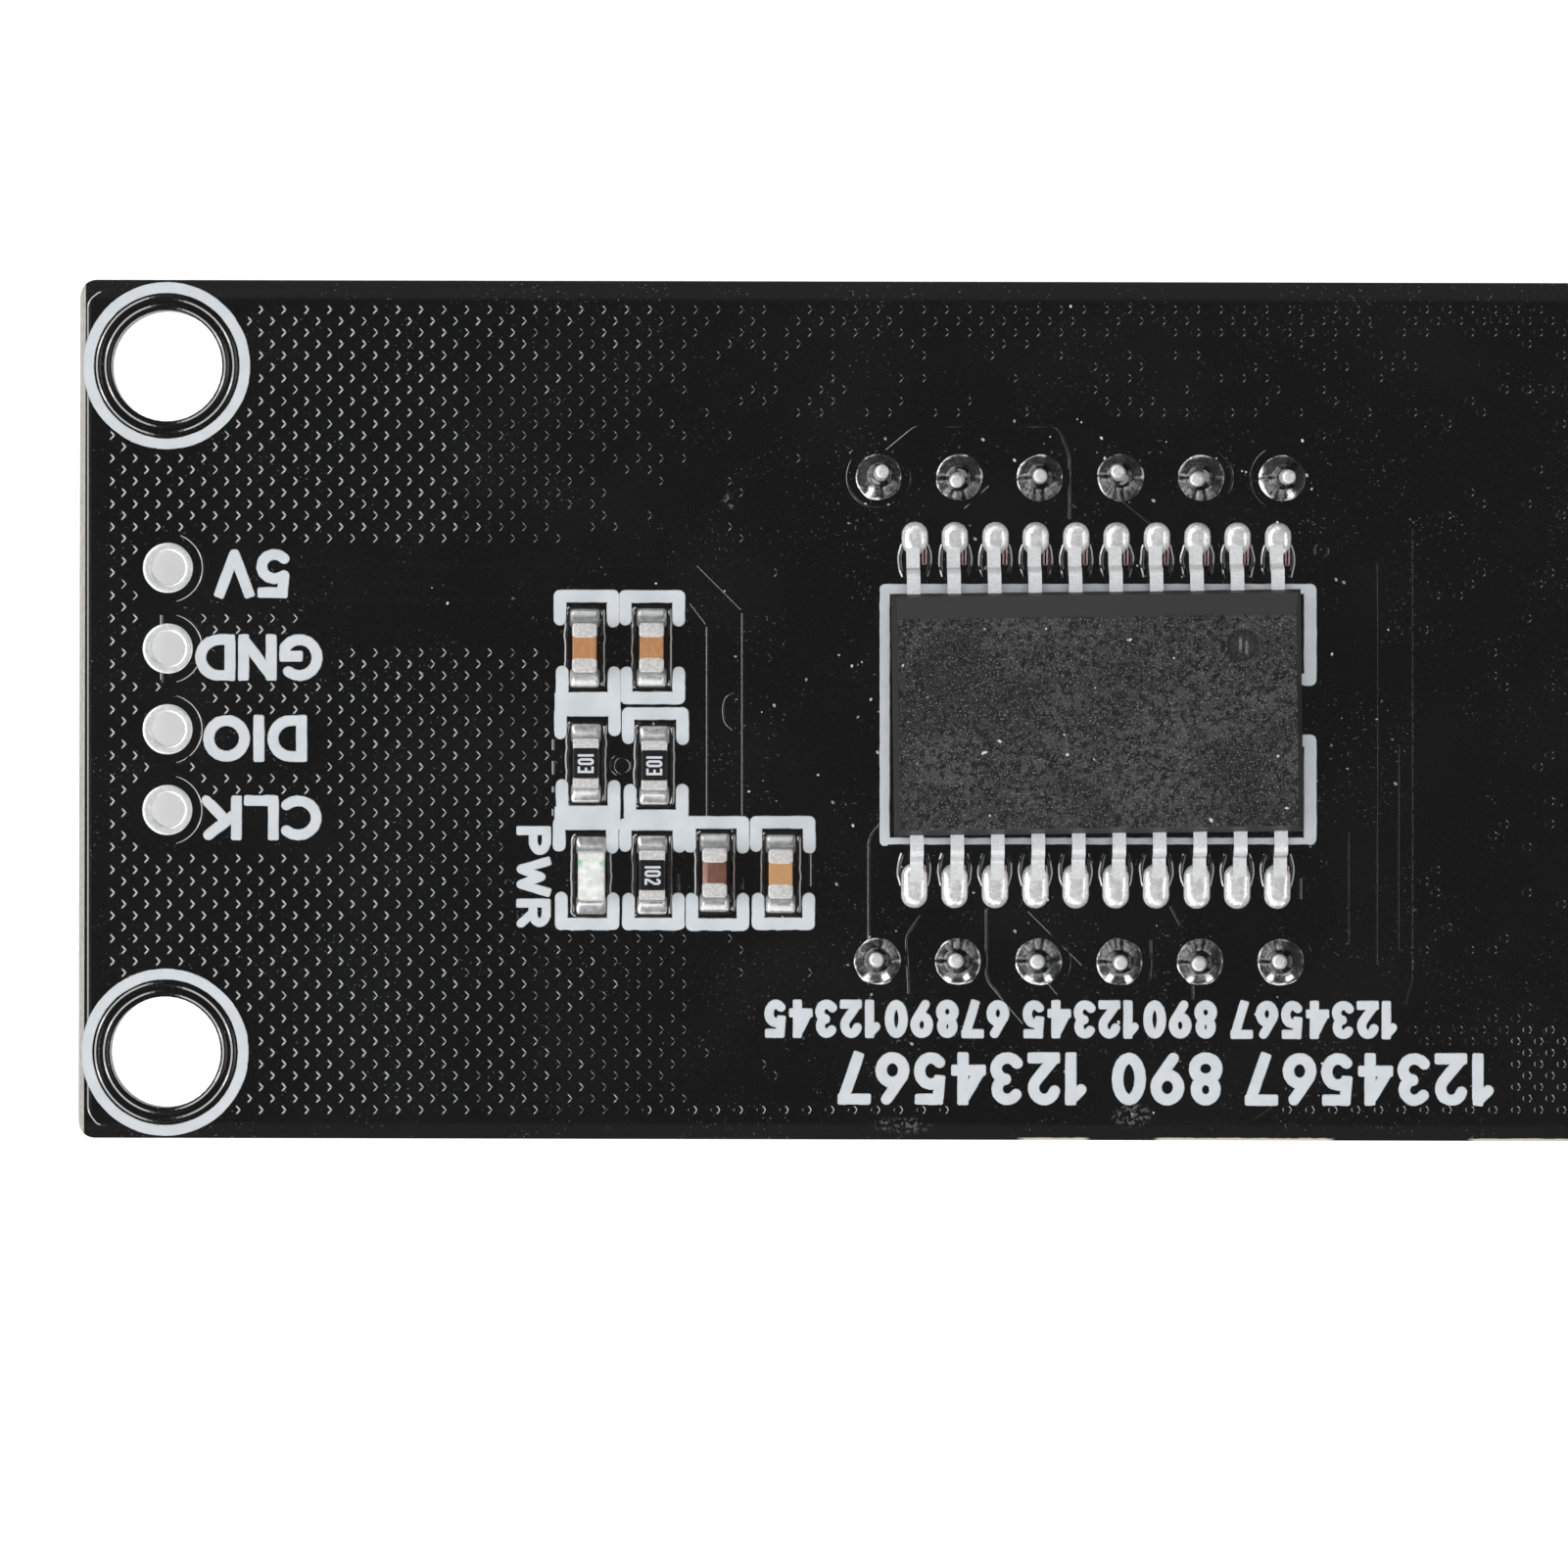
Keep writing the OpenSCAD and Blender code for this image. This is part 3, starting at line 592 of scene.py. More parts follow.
def ink(outlines, top=INK_TOP, low=BACK, flare=0.022, wobble=0.012):
    """Union of convex outlines as a closed plate whose edge slopes out by flare."""
    spots = []
    loops = []
    for outline in outlines:
        outline = clipped(outline, LIMIT)
        if outline:
            loops.append(list(range(len(spots), len(spots) + len(outline))))
            spots.extend(nudged(p, wobble) for p in outline)
    flat, _, found, _, _, owners = geometry.delaunay_2d_cdt(spots, [], loops, 1, 1e-5)
    faces = []
    for face, owner in zip(found, owners):
        a, b, c = (flat[i] for i in face[:3])
        area = (b.x - a.x) * (c.y - a.y) - (b.y - a.y) * (c.x - a.x)
        if owner:
            faces.append(tuple(face) if area > 0 else tuple(reversed(face)))
    directed = {pair for f in faces for pair in zip(f, f[1:] + f[:1])}
    rim = sorted((i, j) for i, j in directed if (j, i) not in directed)
    out = {}
    for i, j in rim:
        along = flat[j] - flat[i]
        if along.length > 1e-9:
            side = Vector((along.y, -along.x)).normalized()
            for end in (i, j):
                out[end] = out.get(end, Vector((0, 0))) + side
    points = [(p.x, p.y, top) for p in flat]
    for i, p in enumerate(flat):
        push = out.get(i)
        if push is not None and push.length > 1e-9:
            p = p + push.normalized() * flare
        points.append((min(max(p.x, LIMIT[0]), LIMIT[2]), min(max(p.y, LIMIT[1]), LIMIT[3]), low))
    count = len(flat)
    under = [tuple(count + i for i in reversed(f)) for f in faces]
    return points, faces + under + [(j, i, count + i, count + j) for i, j in rim]


print("ink top at", INK_TOP, "mm")

# %% [markdown]
# The labels use an alphabet of single strokes, drawn for this scene in a box one unit high. Arcs
# are short chains. A word is placed by the spot where it starts, its height and the turn of its
# reading direction, since the legend is read with the board upside down or on its side.

# %% stroke alphabet
# leans from level or upright, in radians: past the first the square end stays inside the letter,
# past the second a stroke keeps its round ends
SLANT = (0.09, 0.42)


def squared(points, half, turn):
    """Square ends for the level and upright strokes of a letter, as its type has them."""
    made = []
    for k, (a, b) in enumerate(zip(points, points[1:])):
        way = math.atan2(b[1] - a[1], b[0] - a[0])
        lean = abs((way - turn + math.pi / 4) % (math.pi / 2) - math.pi / 4)
        if math.dist(a, b) < 2.2 * half or lean > SLANT[1]:
            continue
        dx, dy = math.cos(way) * half, math.sin(way) * half
        if lean > SLANT[0] and k > 0:
            a = (a[0] + dx, a[1] + dy)
        if lean > SLANT[0] and k < len(points) - 2:
            b = (b[0] - dx, b[1] - dy)
        made.append(bar(a, b, half, 0.3))
    return made


ALPHABET = {
    "0": [arc(0.29, 0.5, 0.29, 0.5, 0, 360, 16)],
    "1": [[(0.08, 0.76), (0.34, 1), (0.34, 0)]],
    "2": [arc(0.28, 0.72, 0.27, 0.28, 165, -35) + [(0.02, 0), (0.56, 0)]],
    "3": [arc(0.26, 0.75, 0.26, 0.25, 150, -80), arc(0.26, 0.26, 0.29, 0.26, 82, -150)],
    "4": [[(0.44, 0), (0.44, 1), (0, 0.3), (0.6, 0.3)]],
    "5": [[(0.52, 1), (0.08, 1), (0.04, 0.55)] + arc(0.26, 0.32, 0.29, 0.32, 118, -140)],
    "6": [[(0.44, 1), (0.12, 0.56)] + arc(0.29, 0.3, 0.29, 0.3, 150, -210, 14)],
    "7": [[(0, 1), (0.56, 1), (0.2, 0)]],
    "8": [arc(0.29, 0.75, 0.24, 0.25, -90, 270, 13), arc(0.29, 0.25, 0.29, 0.26, 90, 450, 13)],
    "9": [arc(0.29, 0.7, 0.29, 0.3, -30, 330, 14) + [(0.14, 0)]],
    "C": [arc(0.36, 0.5, 0.36, 0.5, 48, 312, 13)],
    "D": [[(0, 0), (0, 1), (0.22, 1)] + arc(0.22, 0.5, 0.4, 0.5, 90, -90, 11)
          + [(0, 0)]],
    "G": [arc(0.37, 0.5, 0.37, 0.5, 50, 325, 13) + [(0.68, 0.46), (0.42, 0.46)]],
    "I": [[(0, 0), (0, 1)]],
    "K": [[(0, 0), (0, 1)], [(0.56, 1), (0.04, 0.42)], [(0.2, 0.6), (0.6, 0)]],
    "L": [[(0, 1), (0, 0), (0.48, 0)]],
    "N": [[(0, 0), (0, 1), (0.58, 0), (0.58, 1)]],
    "O": [arc(0.39, 0.5, 0.39, 0.5, 0, 360, 18)],
    "P": [[(0, 0), (0, 1), (0.3, 1)] + arc(0.3, 0.74, 0.28, 0.26, 90, -90, 8)
          + [(0, 0.48)]],
    "R": [[(0, 0), (0, 1), (0.3, 1)] + arc(0.3, 0.74, 0.27, 0.26, 90, -90, 8)
          + [(0, 0.48)], [(0.3, 0.46), (0.6, 0)]],
    "i": [[(0.1, 0), (0.1, 1)]],
    "o": [[(0.15, 0), (0.42, 0), (0.55, 0.14), (0.55, 0.86), (0.42, 1), (0.15, 1),
           (0.02, 0.86), (0.02, 0.14), (0.15, 0)]],
    "e": [[(0, 1), (0.5, 1), (0.5, 0), (0, 0)], [(0.12, 0.52), (0.5, 0.52)]],
    "z": [[(0.02, 0.86), (0.14, 1), (0.38, 1), (0.5, 0.86), (0.5, 0.64), (0.02, 0.14),
           (0.02, 0), (0.5, 0)]],
    "V": [[(0, 1), (0.32, 0), (0.64, 1)]],
    "W": [[(0, 1), (0.22, 0), (0.44, 0.8), (0.66, 0), (0.88, 1)]],
}


def word(text, start, height, width, half, turn, gap):
    """Strokes of a word. Start is the foot of its first letter, width scales the letters."""
    c = math.cos(turn)
    s = math.sin(turn)
    pen = 0.0
    strokes = []
    for letter in text:
        if letter == " ":
            pen += 0.45 * height * width
            continue
        widest = 0.0
        for line in ALPHABET[letter]:
            drawn = []
            for gx, gy in line:
                lx = pen + half + gx * height * width
                ly = half + gy * (height - 2 * half)
                widest = max(widest, gx * height * width)
                drawn.append((start[0] + lx * c - ly * s, start[1] + lx * s + ly * c))
            strokes.extend(chain(drawn, half))
            strokes.extend(squared(drawn, half, turn))
        pen += widest + 2 * half + gap
    return strokes, pen - gap


print("letters", len(ALPHABET))

# %% [markdown]
# ## Legend pieces
# The brackets were measured one by one, because their arms merge where parts stand close. Each
# group is its own piece, and together they stand for the CAD legend.

# %% brackets and rings
ARM = 5.9 / UNITS
# left, right, level of the long arm, and where the left and the right short arm end
BRACKETS = [
    (572, 626, 608.7, 632, 634), (638.5, 693, 609, 632, 633), (574, 627, 713, 686, 687),
    (572.3, 627.5, 725, 748, 745), (639.5, 693, 712.6, 687, 687), (641.5, 697, 728.6, 753, 754),
    (574, 627, 829, 802, 803), (571, 625, 841, 863, 865), (643.5, 696.5, 833, 807, 807),
    (638.5, 693.5, 841.5, 863, 864), (704.5, 758.6, 839.8, 864, 865), (772, 826.3, 839.6, 863, 865),
    (573.2, 626, 943.5, 917, 918), (641.8, 692.6, 943.5, 918, 918), (706.6, 758.6, 944, 918, 918),
    (774.2, 825.6, 943.2, 918, 918),
]
BRACKET_FILLS = [(567, 708, 633, 730), (566.5, 824, 633, 847), (638.5, 828, 702, 846.5)]
outlines = []
for u0, u1, v, left, right in BRACKETS:
    outlines.extend(bars(path_at((u0, left), (u0, v), (u1, v), (u1, right)), ARM))
for u0, v0, u1, v1 in BRACKET_FILLS:
    outlines.append(path_at((u0, v1), (u1, v1), (u1, v0), (u0, v0)))
brackets = piece("legend_brackets", [ink(outlines)], "white_ink", "board_print")

HOLE_X = 28.75
HOLE_Y = 10.8
RING_R = 2.462
RING_HALF = 0.156
HOLES = [(sx * HOLE_X, sy * HOLE_Y) for sx in (-1, 1) for sy in (-1, 1)]
rings = [ink(chain(arc(x, y, RING_R, RING_R, 0, 360, 60), RING_HALF), flare=0.016)
         for x, y in HOLES]
ring_piece = piece("legend_rings", rings, "white_ink")

CASE_FRAME = [
    ([(903.5, 601.5), (1337.5, 601.5)], 4.6),
    ([(903.5, 601.5), (903.5, 858.5)], 4.6),
    ([(903.5, 858.6), (1337.5, 858.6)], 2.9),
    ([(1332.5, 693.5), (1337.6, 693.5), (1337.6, 602.5)], 6.0),
    ([(1332.5, 756.5), (1337.6, 756.5), (1337.6, 856)], 6.0),
]
outlines = [o for line, half in CASE_FRAME for o in bars(path_at(*line), half / UNITS)]
piece("legend_case_frame", [ink(outlines)], "white_ink")
print("bracket faces", len(brackets.data.polygons), "ring faces", len(ring_piece.data.polygons))

# %% [markdown]
# The four cable labels and the lamp's label are read with the board turned over end for end or
# on its side. The two long lines at the lower edge carried names, so they are plain numerals
# here, with the same heights, widths and spaces.

# %% labels
# text, start, height, pen, turn, length and gap between letters
LABELS = [
    ("5V", (297, 561), 49, 4.9, math.pi, 77, 3.5),
    ("GND", (329, 648), 47, 5.0, math.pi, 129, 4.0),
    ("DIO", (313, 730.5), 47, 5.0, math.pi, 105, 4.5),
    ("CLK", (328, 812.5), 45, 4.9, math.pi, 122, 3.5),
    ("PWR", (528, 844), 34, 4.0, -math.pi / 2, 103, 3.5),
    ("1234567 89012345 6789012345", (1428, 1022.5), 38, 4.1, math.pi, 647, 3.8),
    ("1234567 890 1234567", (1528, 1076), 53, 5.2, math.pi, 672, 5.5),
]


def fitted(text, start, height, half, turn, length, gap):
    """Strokes of a word whose letters are as wide as its whole length needs."""
    height, half, length, gap = (value / UNITS for value in (height, half, length, gap))
    _, none = word(text, (0, 0), height, 0.0, half, 0.0, gap)
    _, full = word(text, (0, 0), height, 1.0, half, 0.0, gap)
    width = (length - none) / (full - none)
    print(text, "letters", round(width, 2), "of full width")
    return word(text, at(*start), height, width, half, turn, gap)[0]


piece("legend_labels", [ink(fitted(*row), wobble=0.009) for row in LABELS[:5]], "white_ink")
piece("legend_numbers", [ink(fitted(*row), wobble=0.008) for row in LABELS[5:]], "white_ink")


# %% [markdown]
# ## Hatched copper under the mask
# The ground copper is a mesh of fine lines, so the mask over it dips into small rounded diamonds
# in staggered rows. Each dip is cut into one closed square tile, turned by 45 degrees, and the
# tiles are set edge to edge on the board by a node tree. The dips get shallower from left to
# right, which is how strongly they shine in the picture.

# %% one tile
PITCH_U = 23.35
PITCH_V = 11.675
TILE_H = 0.036


def tile(name, depth, opening, wall, side):
    """A closed square tile with a rounded diamond dip, centred on the origin."""
    half = PITCH_U / UNITS / 2
    corners = [(half, 0), (0, half), (-half, 0), (0, -half)]
    outer = []
    for c, d in zip(corners, corners[1:] + corners[:1]):
        outer.extend((c, ((c[0] + d[0]) / 2, (c[1] + d[1]) / 2)))
    rim = []
    foot = []
    for k in range(8):
        a = math.radians(45 * k)
        reach = side if k % 2 else 1.0
        for ring, size in ((rim, opening), (foot, opening - wall)):
            ring.append((size * reach * math.cos(a), size * reach * math.sin(a)))
    levels = ((outer, 0.0), (outer, TILE_H), (rim, TILE_H), (foot, TILE_H - depth))
    thing = modelled(name, [loft([[(x, y, z) for x, y in ring] for ring, z in levels])])
    for edge in thing.data.edges:
        edge.use_edge_sharp = {i // 8 for i in edge.vertices} != {2, 3}
    return thing


print("tile side", round(PITCH_U / UNITS / math.sqrt(2), 3), "mm")

# %% [markdown]
# One small node tree repeats a source shape on the points of a mesh. It has named inputs for the
# source, the material, and how much size and turn may vary, and a fixed seed. The modifier is
# evaluated to a plain mesh and taken away, so that what's handed in holds only meshes.

# %% repeat tree
def new_tree(name, sockets):
    """An empty tree with named inputs, and what each input is called inside Blender."""
    tree = bpy.data.node_groups.new(name, "GeometryNodeTree")
    tree.interface.new_socket(name="Geometry", in_out="OUTPUT", socket_type="NodeSocketGeometry")
    ids = {}
    for label, kind in sockets.items():
        made = tree.interface.new_socket(name=label, in_out="INPUT",
                                         socket_type="NodeSocket" + kind)
        ids[label] = made.identifier
    return tree, ids


def add_nodes(tree, **kinds):
    return {name: tree.nodes.new(kind) for name, kind in kinds.items()}


def wire(tree, nodes, links):
    for source, out, target, into in links:
        tree.links.new(nodes[source].outputs[out], nodes[target].inputs[into])


def repeat_tree():
    tree, ids = new_tree("repeat_on_points", {
        "Geometry": "Geometry", "Shape": "Object", "Finish": "Material",
        "Size spread": "Float", "Turn spread": "Float", "Seed": "Int"})
    nodes = add_nodes(
        tree, source="NodeGroupInput", info="GeometryNodeObjectInfo",
        spots="GeometryNodeMeshToPoints", place="GeometryNodeInstanceOnPoints",
        size="FunctionNodeRandomValue", turn="FunctionNodeRandomValue", spin="ShaderNodeCombineXYZ",
        solid="GeometryNodeRealizeInstances", paint="GeometryNodeSetMaterial",
        sink="NodeGroupOutput")
    outputs = nodes["source"].outputs
    size_spread = Sock(tree, outputs["Size spread"])
    turn_spread = Sock(tree, outputs["Turn spread"])
    for name, low, high in (("size", 1.0 - size_spread, 1.0 + size_spread),
                            ("turn", turn_spread * -1.0, turn_spread)):
        nodes[name].data_type = "FLOAT"
        plug(tree, low, nodes[name].inputs[2])
        plug(tree, high, nodes[name].inputs[3])
        tree.links.new(outputs["Seed"], nodes[name].inputs["Seed"])
    wire(tree, nodes, [
        ("source", "Geometry", "spots", "Mesh"), ("source", "Shape", "info", "Object"),
        ("spots", "Points", "place", "Points"), ("info", "Geometry", "place", "Instance"),
        ("turn", 1, "spin", "Z"), ("spin", 0, "place", "Rotation"), ("size", 1, "place", "Scale"),
        ("place", "Instances", "solid", "Geometry"), ("solid", "Geometry", "paint", "Geometry"),
        ("source", "Finish", "paint", "Material"), ("paint", "Geometry", "sink", "Geometry")])
    return tree, ids


REPEAT, REPEAT_IDS = repeat_tree()


def evaluated(name, carrier, tree, ids, look, values):
    """Runs a tree on a carrier mesh, keeps the result as a plain mesh piece."""
    thing = placed(name + "_carrier", carrier)
    modifier = thing.modifiers.new("tree", "NODES")
    modifier.node_group = tree
    modifier[ids["Finish"]] = LOOKS[look]
    for label, value in values.items():
        modifier[ids[label]] = value
    bpy.context.view_layer.update()
    graph = bpy.context.evaluated_depsgraph_get()
    mesh = bpy.data.meshes.new_from_object(thing.evaluated_get(graph), depsgraph=graph)
    thing.modifiers.remove(modifier)
    bpy.data.objects.remove(thing)
    mesh.name = name
    return adopt(placed(name, mesh), look)


def repeated(name, source, spots, look, size, turn, seed):
    carrier = bpy.data.meshes.new(name + "_spots")
    carrier.from_pydata([(x * MM, y * MM, z * MM) for x, y, z in spots], [], [])
    values = {"Shape": source, "Size spread": size, "Turn spread": turn, "Seed": seed}
    return evaluated(name, carrier, REPEAT, REPEAT_IDS, look, values)


print("repeat tree inputs", len(REPEAT_IDS))

# %% [markdown]
# Where the copper is solid, or there is none, the mask is smooth: round the holes and pads, along
# the supply track, under the parts and labels and round the driver. The areas are simple boxes
# and circles on the sheet, and the field goes on past the picture's right edge.

# %% where the dips are
BARE = [
    (150, 556, 720, 626), (305, 556, 340, 654), (340, 600, 565, 654), (563, 600, 842, 952),
    (520, 838, 570, 952), (850, 440, 1345, 1030), (1340, 470, 1446, 1030), (700, 560, 770, 840),
    (205, 561, 296, 613), (196, 646, 334, 697), (203, 728, 318, 781), (200, 810, 334, 862),
    (775, 1018, 1436, 1064), (850, 1070, 1536, 1126), (985, 1126, 1295, 1145),
    (860, 425, 1110, 520), (1600, 560, 1720, 860),
]
PADS = [(-28.70, y) for y in (4.44, 1.90, -0.64, -3.18)]
CLEAR_OF_HOLE = 2.82
CLEAR_OF_PAD = 1.25


def hatched(u, v):
    x, y = at(u, v)
    if not (106 <= u and x < 30.6 and 312 <= v <= 1138):
        return False
    if any(a - 4 < u < c + 4 and b - 3 < v < d + 3 for a, b, c, d in BARE):
        return False
    if any(math.dist((x, y), hole) < CLEAR_OF_HOLE for hole in HOLES):
        return False
    return not any(math.dist((x, y), pad) < CLEAR_OF_PAD for pad in PADS)


# depth, half width of the opening, width of the wall and reach of the flat sides
KINDS = {
    "deep": (0.0268, 0.182, 0.066, 0.78),
    "mid": (0.0180, 0.182, 0.044, 0.78),
    "thin": (0.0076, 0.176, 0.019, 0.78),
    "faint": (0.0080, 0.170, 0.050, 0.78),
    "open": (0.0150, 0.150, 0.031, 0.96),
}
FIRST_U = 243.0 - 3.0 - PITCH_U * 6
FIRST_V = 316.0
chance = random.Random(11)


def dip_kind(u, v):
    """How deep the dip at a spot is: shallower to the right, with some chance in it."""
    fade = (u - 320 + (v - FIRST_V) * 0.9) / 250 if v < 640 else (u - 270) / 260
    fade += chance.uniform(-0.4, 0.4)
    if u < 470 and v < 640:
        fade = min(fade, chance.uniform(0.0, 0.75))
    if u > 1270 and v > 1040:
        return "open" if v > 1095 or u > 1540 else "thin"
    if v > 1126 and 640 < u < 985:
        return "open"
    if u > 700:
        share = 0.85 if v < 345 else 0.3 if v < 430 else 0.12
        return "thin" if chance.random() < share else "faint"
    return "deep" if fade < 0.4 else "mid" if fade < 1.1 else "thin" if fade < 1.9 else "faint"


fields = {kind: [] for kind in KINDS}
row = 0
v = FIRST_V
while v < 1140:
    u = FIRST_U + (PITCH_U / 2 if row % 2 else 0.0)
    while u < 2100:
        if hatched(u, v):
            fields[dip_kind(u, v)].append((*at(u, v), BACK))
        u += PITCH_U
    row += 1
    v += PITCH_V
for number, (kind, sizes) in enumerate(KINDS.items()):
    source = tile("tile_" + kind, *sizes)
    hatch = repeated("hatch_" + kind, source, fields[kind], "black_laminate", 0.0, 0.0, 3 + number)
    bpy.data.objects.remove(source)
    print("dips", kind, len(fields[kind]), "faces", len(hatch.data.polygons))

# %% [markdown]
# ## Tracks, clearances and the pour's edge
# Under the mask a copper track shows only as a pair of faint bright lines, where the mask slopes
# over its edge. A second node tree sweeps a low four-sided profile along any path, so tracks,
# the pour's edge and the rings round the pads and holes all come from lists of corners.

# %% ridge tree
def ridge_tree():
    tree, ids = new_tree("ridge_along_path", {
        "Geometry": "Geometry", "Foot width": "Float", "Crest width": "Float", "Height": "Float",
        "Finish": "Material"})
    nodes = add_nodes(
        tree, source="NodeGroupInput", curve="GeometryNodeMeshToCurve",
        normal="GeometryNodeSetCurveNormal", profile="GeometryNodeCurvePrimitiveQuadrilateral",
        sweep="GeometryNodeCurveToMesh", paint="GeometryNodeSetMaterial",
        solid="GeometryNodeRealizeInstances", sink="NodeGroupOutput")
    nodes["normal"].mode = "Z_UP"
    nodes["profile"].mode = "TRAPEZOID"
    nodes["profile"].inputs["Offset"].default_value = 0.0
    nodes["sweep"].inputs["Fill Caps"].default_value = True
    wire(tree, nodes, [
        ("source", "Geometry", "curve", "Mesh"), ("curve", "Curve", "normal", "Curve"),
        ("normal", "Curve", "sweep", "Curve"), ("source", "Crest width", "profile", "Bottom Width"),
        ("source", "Foot width", "profile", "Top Width"), ("source", "Height", "profile", "Height"),
        ("profile", "Curve", "sweep", "Profile Curve"), ("sweep", "Mesh", "solid", "Geometry"),
        ("solid", "Geometry", "paint", "Geometry"), ("source", "Finish", "paint", "Material"),
        ("paint", "Geometry", "sink", "Geometry")])
    return tree, ids


RIDGE, RIDGE_IDS = ridge_tree()


def softened(points, radius=0.25, parts=4):
    """The same path with its corners rounded, in millimetres."""
    out = [points[0]]
    for a, b, c in zip(points, points[1:], points[2:]):
        a, b, c = Vector(a), Vector(b), Vector(c)
        r = min(radius, (b - a).length * 0.45, (c - b).length * 0.45)
        start = b + (a - b).normalized() * r
        end = b + (c - b).normalized() * r
        for k in range(parts + 1):
            t = k / parts
            out.append(tuple(start * (1 - t) ** 2 + b * 2 * t * (1 - t) + end * t ** 2))
    out.append(points[-1])
    return out


def ridges(name, paths, foot, crest, height):
    """Low ridges on the board's back along open or closed paths."""
    points = []
    edges = []
    for path in paths:
        closed = math.dist(path[0], path[-1]) < 1e-6
        body = path[:-1] if closed else path
        base = len(points)
        points.extend((x * MM, y * MM, (BACK + height / 2) * MM) for x, y in body)
        edges.extend((base + i, base + i + 1) for i in range(len(body) - 1))
        if closed:
            edges.append((base + len(body) - 1, base))
    carrier = bpy.data.meshes.new(name + "_path")
    carrier.from_pydata(points, edges, [])
    values = {"Foot width": foot * MM, "Crest width": crest * MM, "Height": height * MM}
    made = evaluated(name, carrier, RIDGE, RIDGE_IDS, "black_laminate", values)
    made.data.shade_flat()
    print(name, "faces", len(made.data.polygons))


SUPPLY = [
    [(758, 626), (758, 833)],
    [(722, 640), (722, 833)],
]
TRACKS = [
    [(712, 577), (757, 622)],
    [(705, 616), (721, 637)],
    [(303, 577), (712, 577)],
    [(303, 613), (563, 613)],
    [(900, 840), (887, 855), (887, 960)],
    [(1007, 928), (1007, 1000), (1045, 1045)],
    [(940, 935), (925, 955), (928, 1015)],
    [(1050, 930), (1105, 985)],
    [(1195, 925), (1205, 945)],
    [(1175, 960), (1175, 1000), (1160, 1015)],
    [(1218, 1003), (1218, 1020)],
    [(1070, 1003), (1080, 1015)],
    [(905, 460), (935, 435), (1080, 435), (1092, 465), (1092, 530)],
    [(985, 520), (1010, 497)],
    [(1145, 510), (1175, 535)],
    [(1328, 897), (1328, 918)],
    [(1170, 1145), (1280, 1145), (1300, 1130)],
    [(750, 708), (741, 712), (738, 724), (740, 738), (748, 745)],
    [(636, 774), (628, 772), (623, 778), (624, 786), (630, 791)],
]
FAINT = [
    [(1377, 850), (1377, 965)],
    [(1406, 575), (1406, 985)],
    [(1428, 760), (1428, 970)],
    [(1442, 540), (1442, 1000), (1435, 1025)],
]
EDGE = [(109, 299), (102, 299), (91, 308), (91, 1135), (100, 1147), (109, 1148)]
PITCH = 2.54
PINS = [(PITCH * (k - 2.5), -0.27 + side * 3 * PITCH) for side in (1, -1) for k in range(6)]
PIN_GAPS = [(0, 150, 300), (0, -60, 10), (4, -30, 60), (5, 120, 240), (8, 300, 400), (11, 20, 80)]
rims = [arc(x, y, radius, radius, 0, 360, 72) for x, y in HOLES for radius in (1.88, 2.15)]
clear = [arc(x, y, 1.12, 1.12, -75, 75, 24) for x, y in PADS]
gaps = [arc(*PINS[k], 0.98, 0.98, start, end, 24) for k, start, end in PIN_GAPS]
ridges("tracks", [softened(path_at(*track)) for track in TRACKS], 0.08, 0.03, 0.0107)
ridges("supply_tracks", [path_at(*track) for track in SUPPLY], 0.07, 0.01, 0.0126)
ridges("faint_tracks", [path_at(*track) for track in FAINT], 0.06, 0.02, 0.0079)
ridges("pour_edge", [softened(path_at(*EDGE), 0.3, 6)], 0.12, 0.03, 0.0205)
ridges("hole_rims", rims, 0.16, 0.05, 0.0262)
ridges("pad_clearances", clear, 0.10, 0.03, 0.0155)
ridges("pin_clearances", gaps, 0.08, 0.03, 0.0108)

# %% [markdown]
# Vias are small rings under the mask, and the ground pad is tied to the pour by two short spokes.
# Short dashes close the pour beside the small parts.

# %% vias and spokes
VIAS = [(1349, 563, 7), (789, 511, 10), (636, 782, 8)]
DASHES = [(165, 628, 641), (165, 686, 701), (565, 755, 766), (565, 777, 791), (565, 803, 809),
          (565, 826, 833), (827, 868, 905), (693, 892, 910), (758, 896, 908)]
vias = [arc(*at(u, v), r / UNITS, r / UNITS, 0, 360, 20) for u, v, r in VIAS]
ridges("vias", vias, 0.08, 0.02, 0.0125)
ridges("pour_dashes", [path_at((u, a), (u, b)) for u, a, b in DASHES], 0.09, 0.02, 0.0175)

# %% [markdown]
# ## Solder joints of the display pins
# Each pin of the display comes up through the board and ends in a concave cone of solder. The
# pins were bent a little when they were cut, so every tip leans its own way. A pin and its cone
# are two skins through circles whose centres move toward the tip.

# %% pins and cones
TIPS = [(3.3, 4.5), (-3.8, -5.0), (-1.1, 0.5), (-4.7, 5.0), (-6.8, -3.0), (4.9, 0.0),
        (-2.0, 2.5), (-4.0, 1.5), (-3.4, 0.5), (-0.3, -0.5), (-3.4, -1.5), (-4.0, 1.5)]
# height above the board and radius
CONE = [(0.0, 0.738), (0.006, 0.735), (0.016, 0.716), (0.09, 0.63), (0.165, 0.55), (0.245, 0.47),
        (0.33, 0.39), (0.43, 0.335), (0.62, 0.30), (0.9, 0.278), (1.2, 0.26)]
# height, radius and share of the lean
POST = [(5.6, 0.25, 0), (10.2, 0.25, 0), (10.7, 0.24, 0.55), (11.24, 0.225, 0.97),
        (11.31, 0.2, 1.0), (11.345, 0.14, 1.0), (11.35, 0.06, 1.0)]


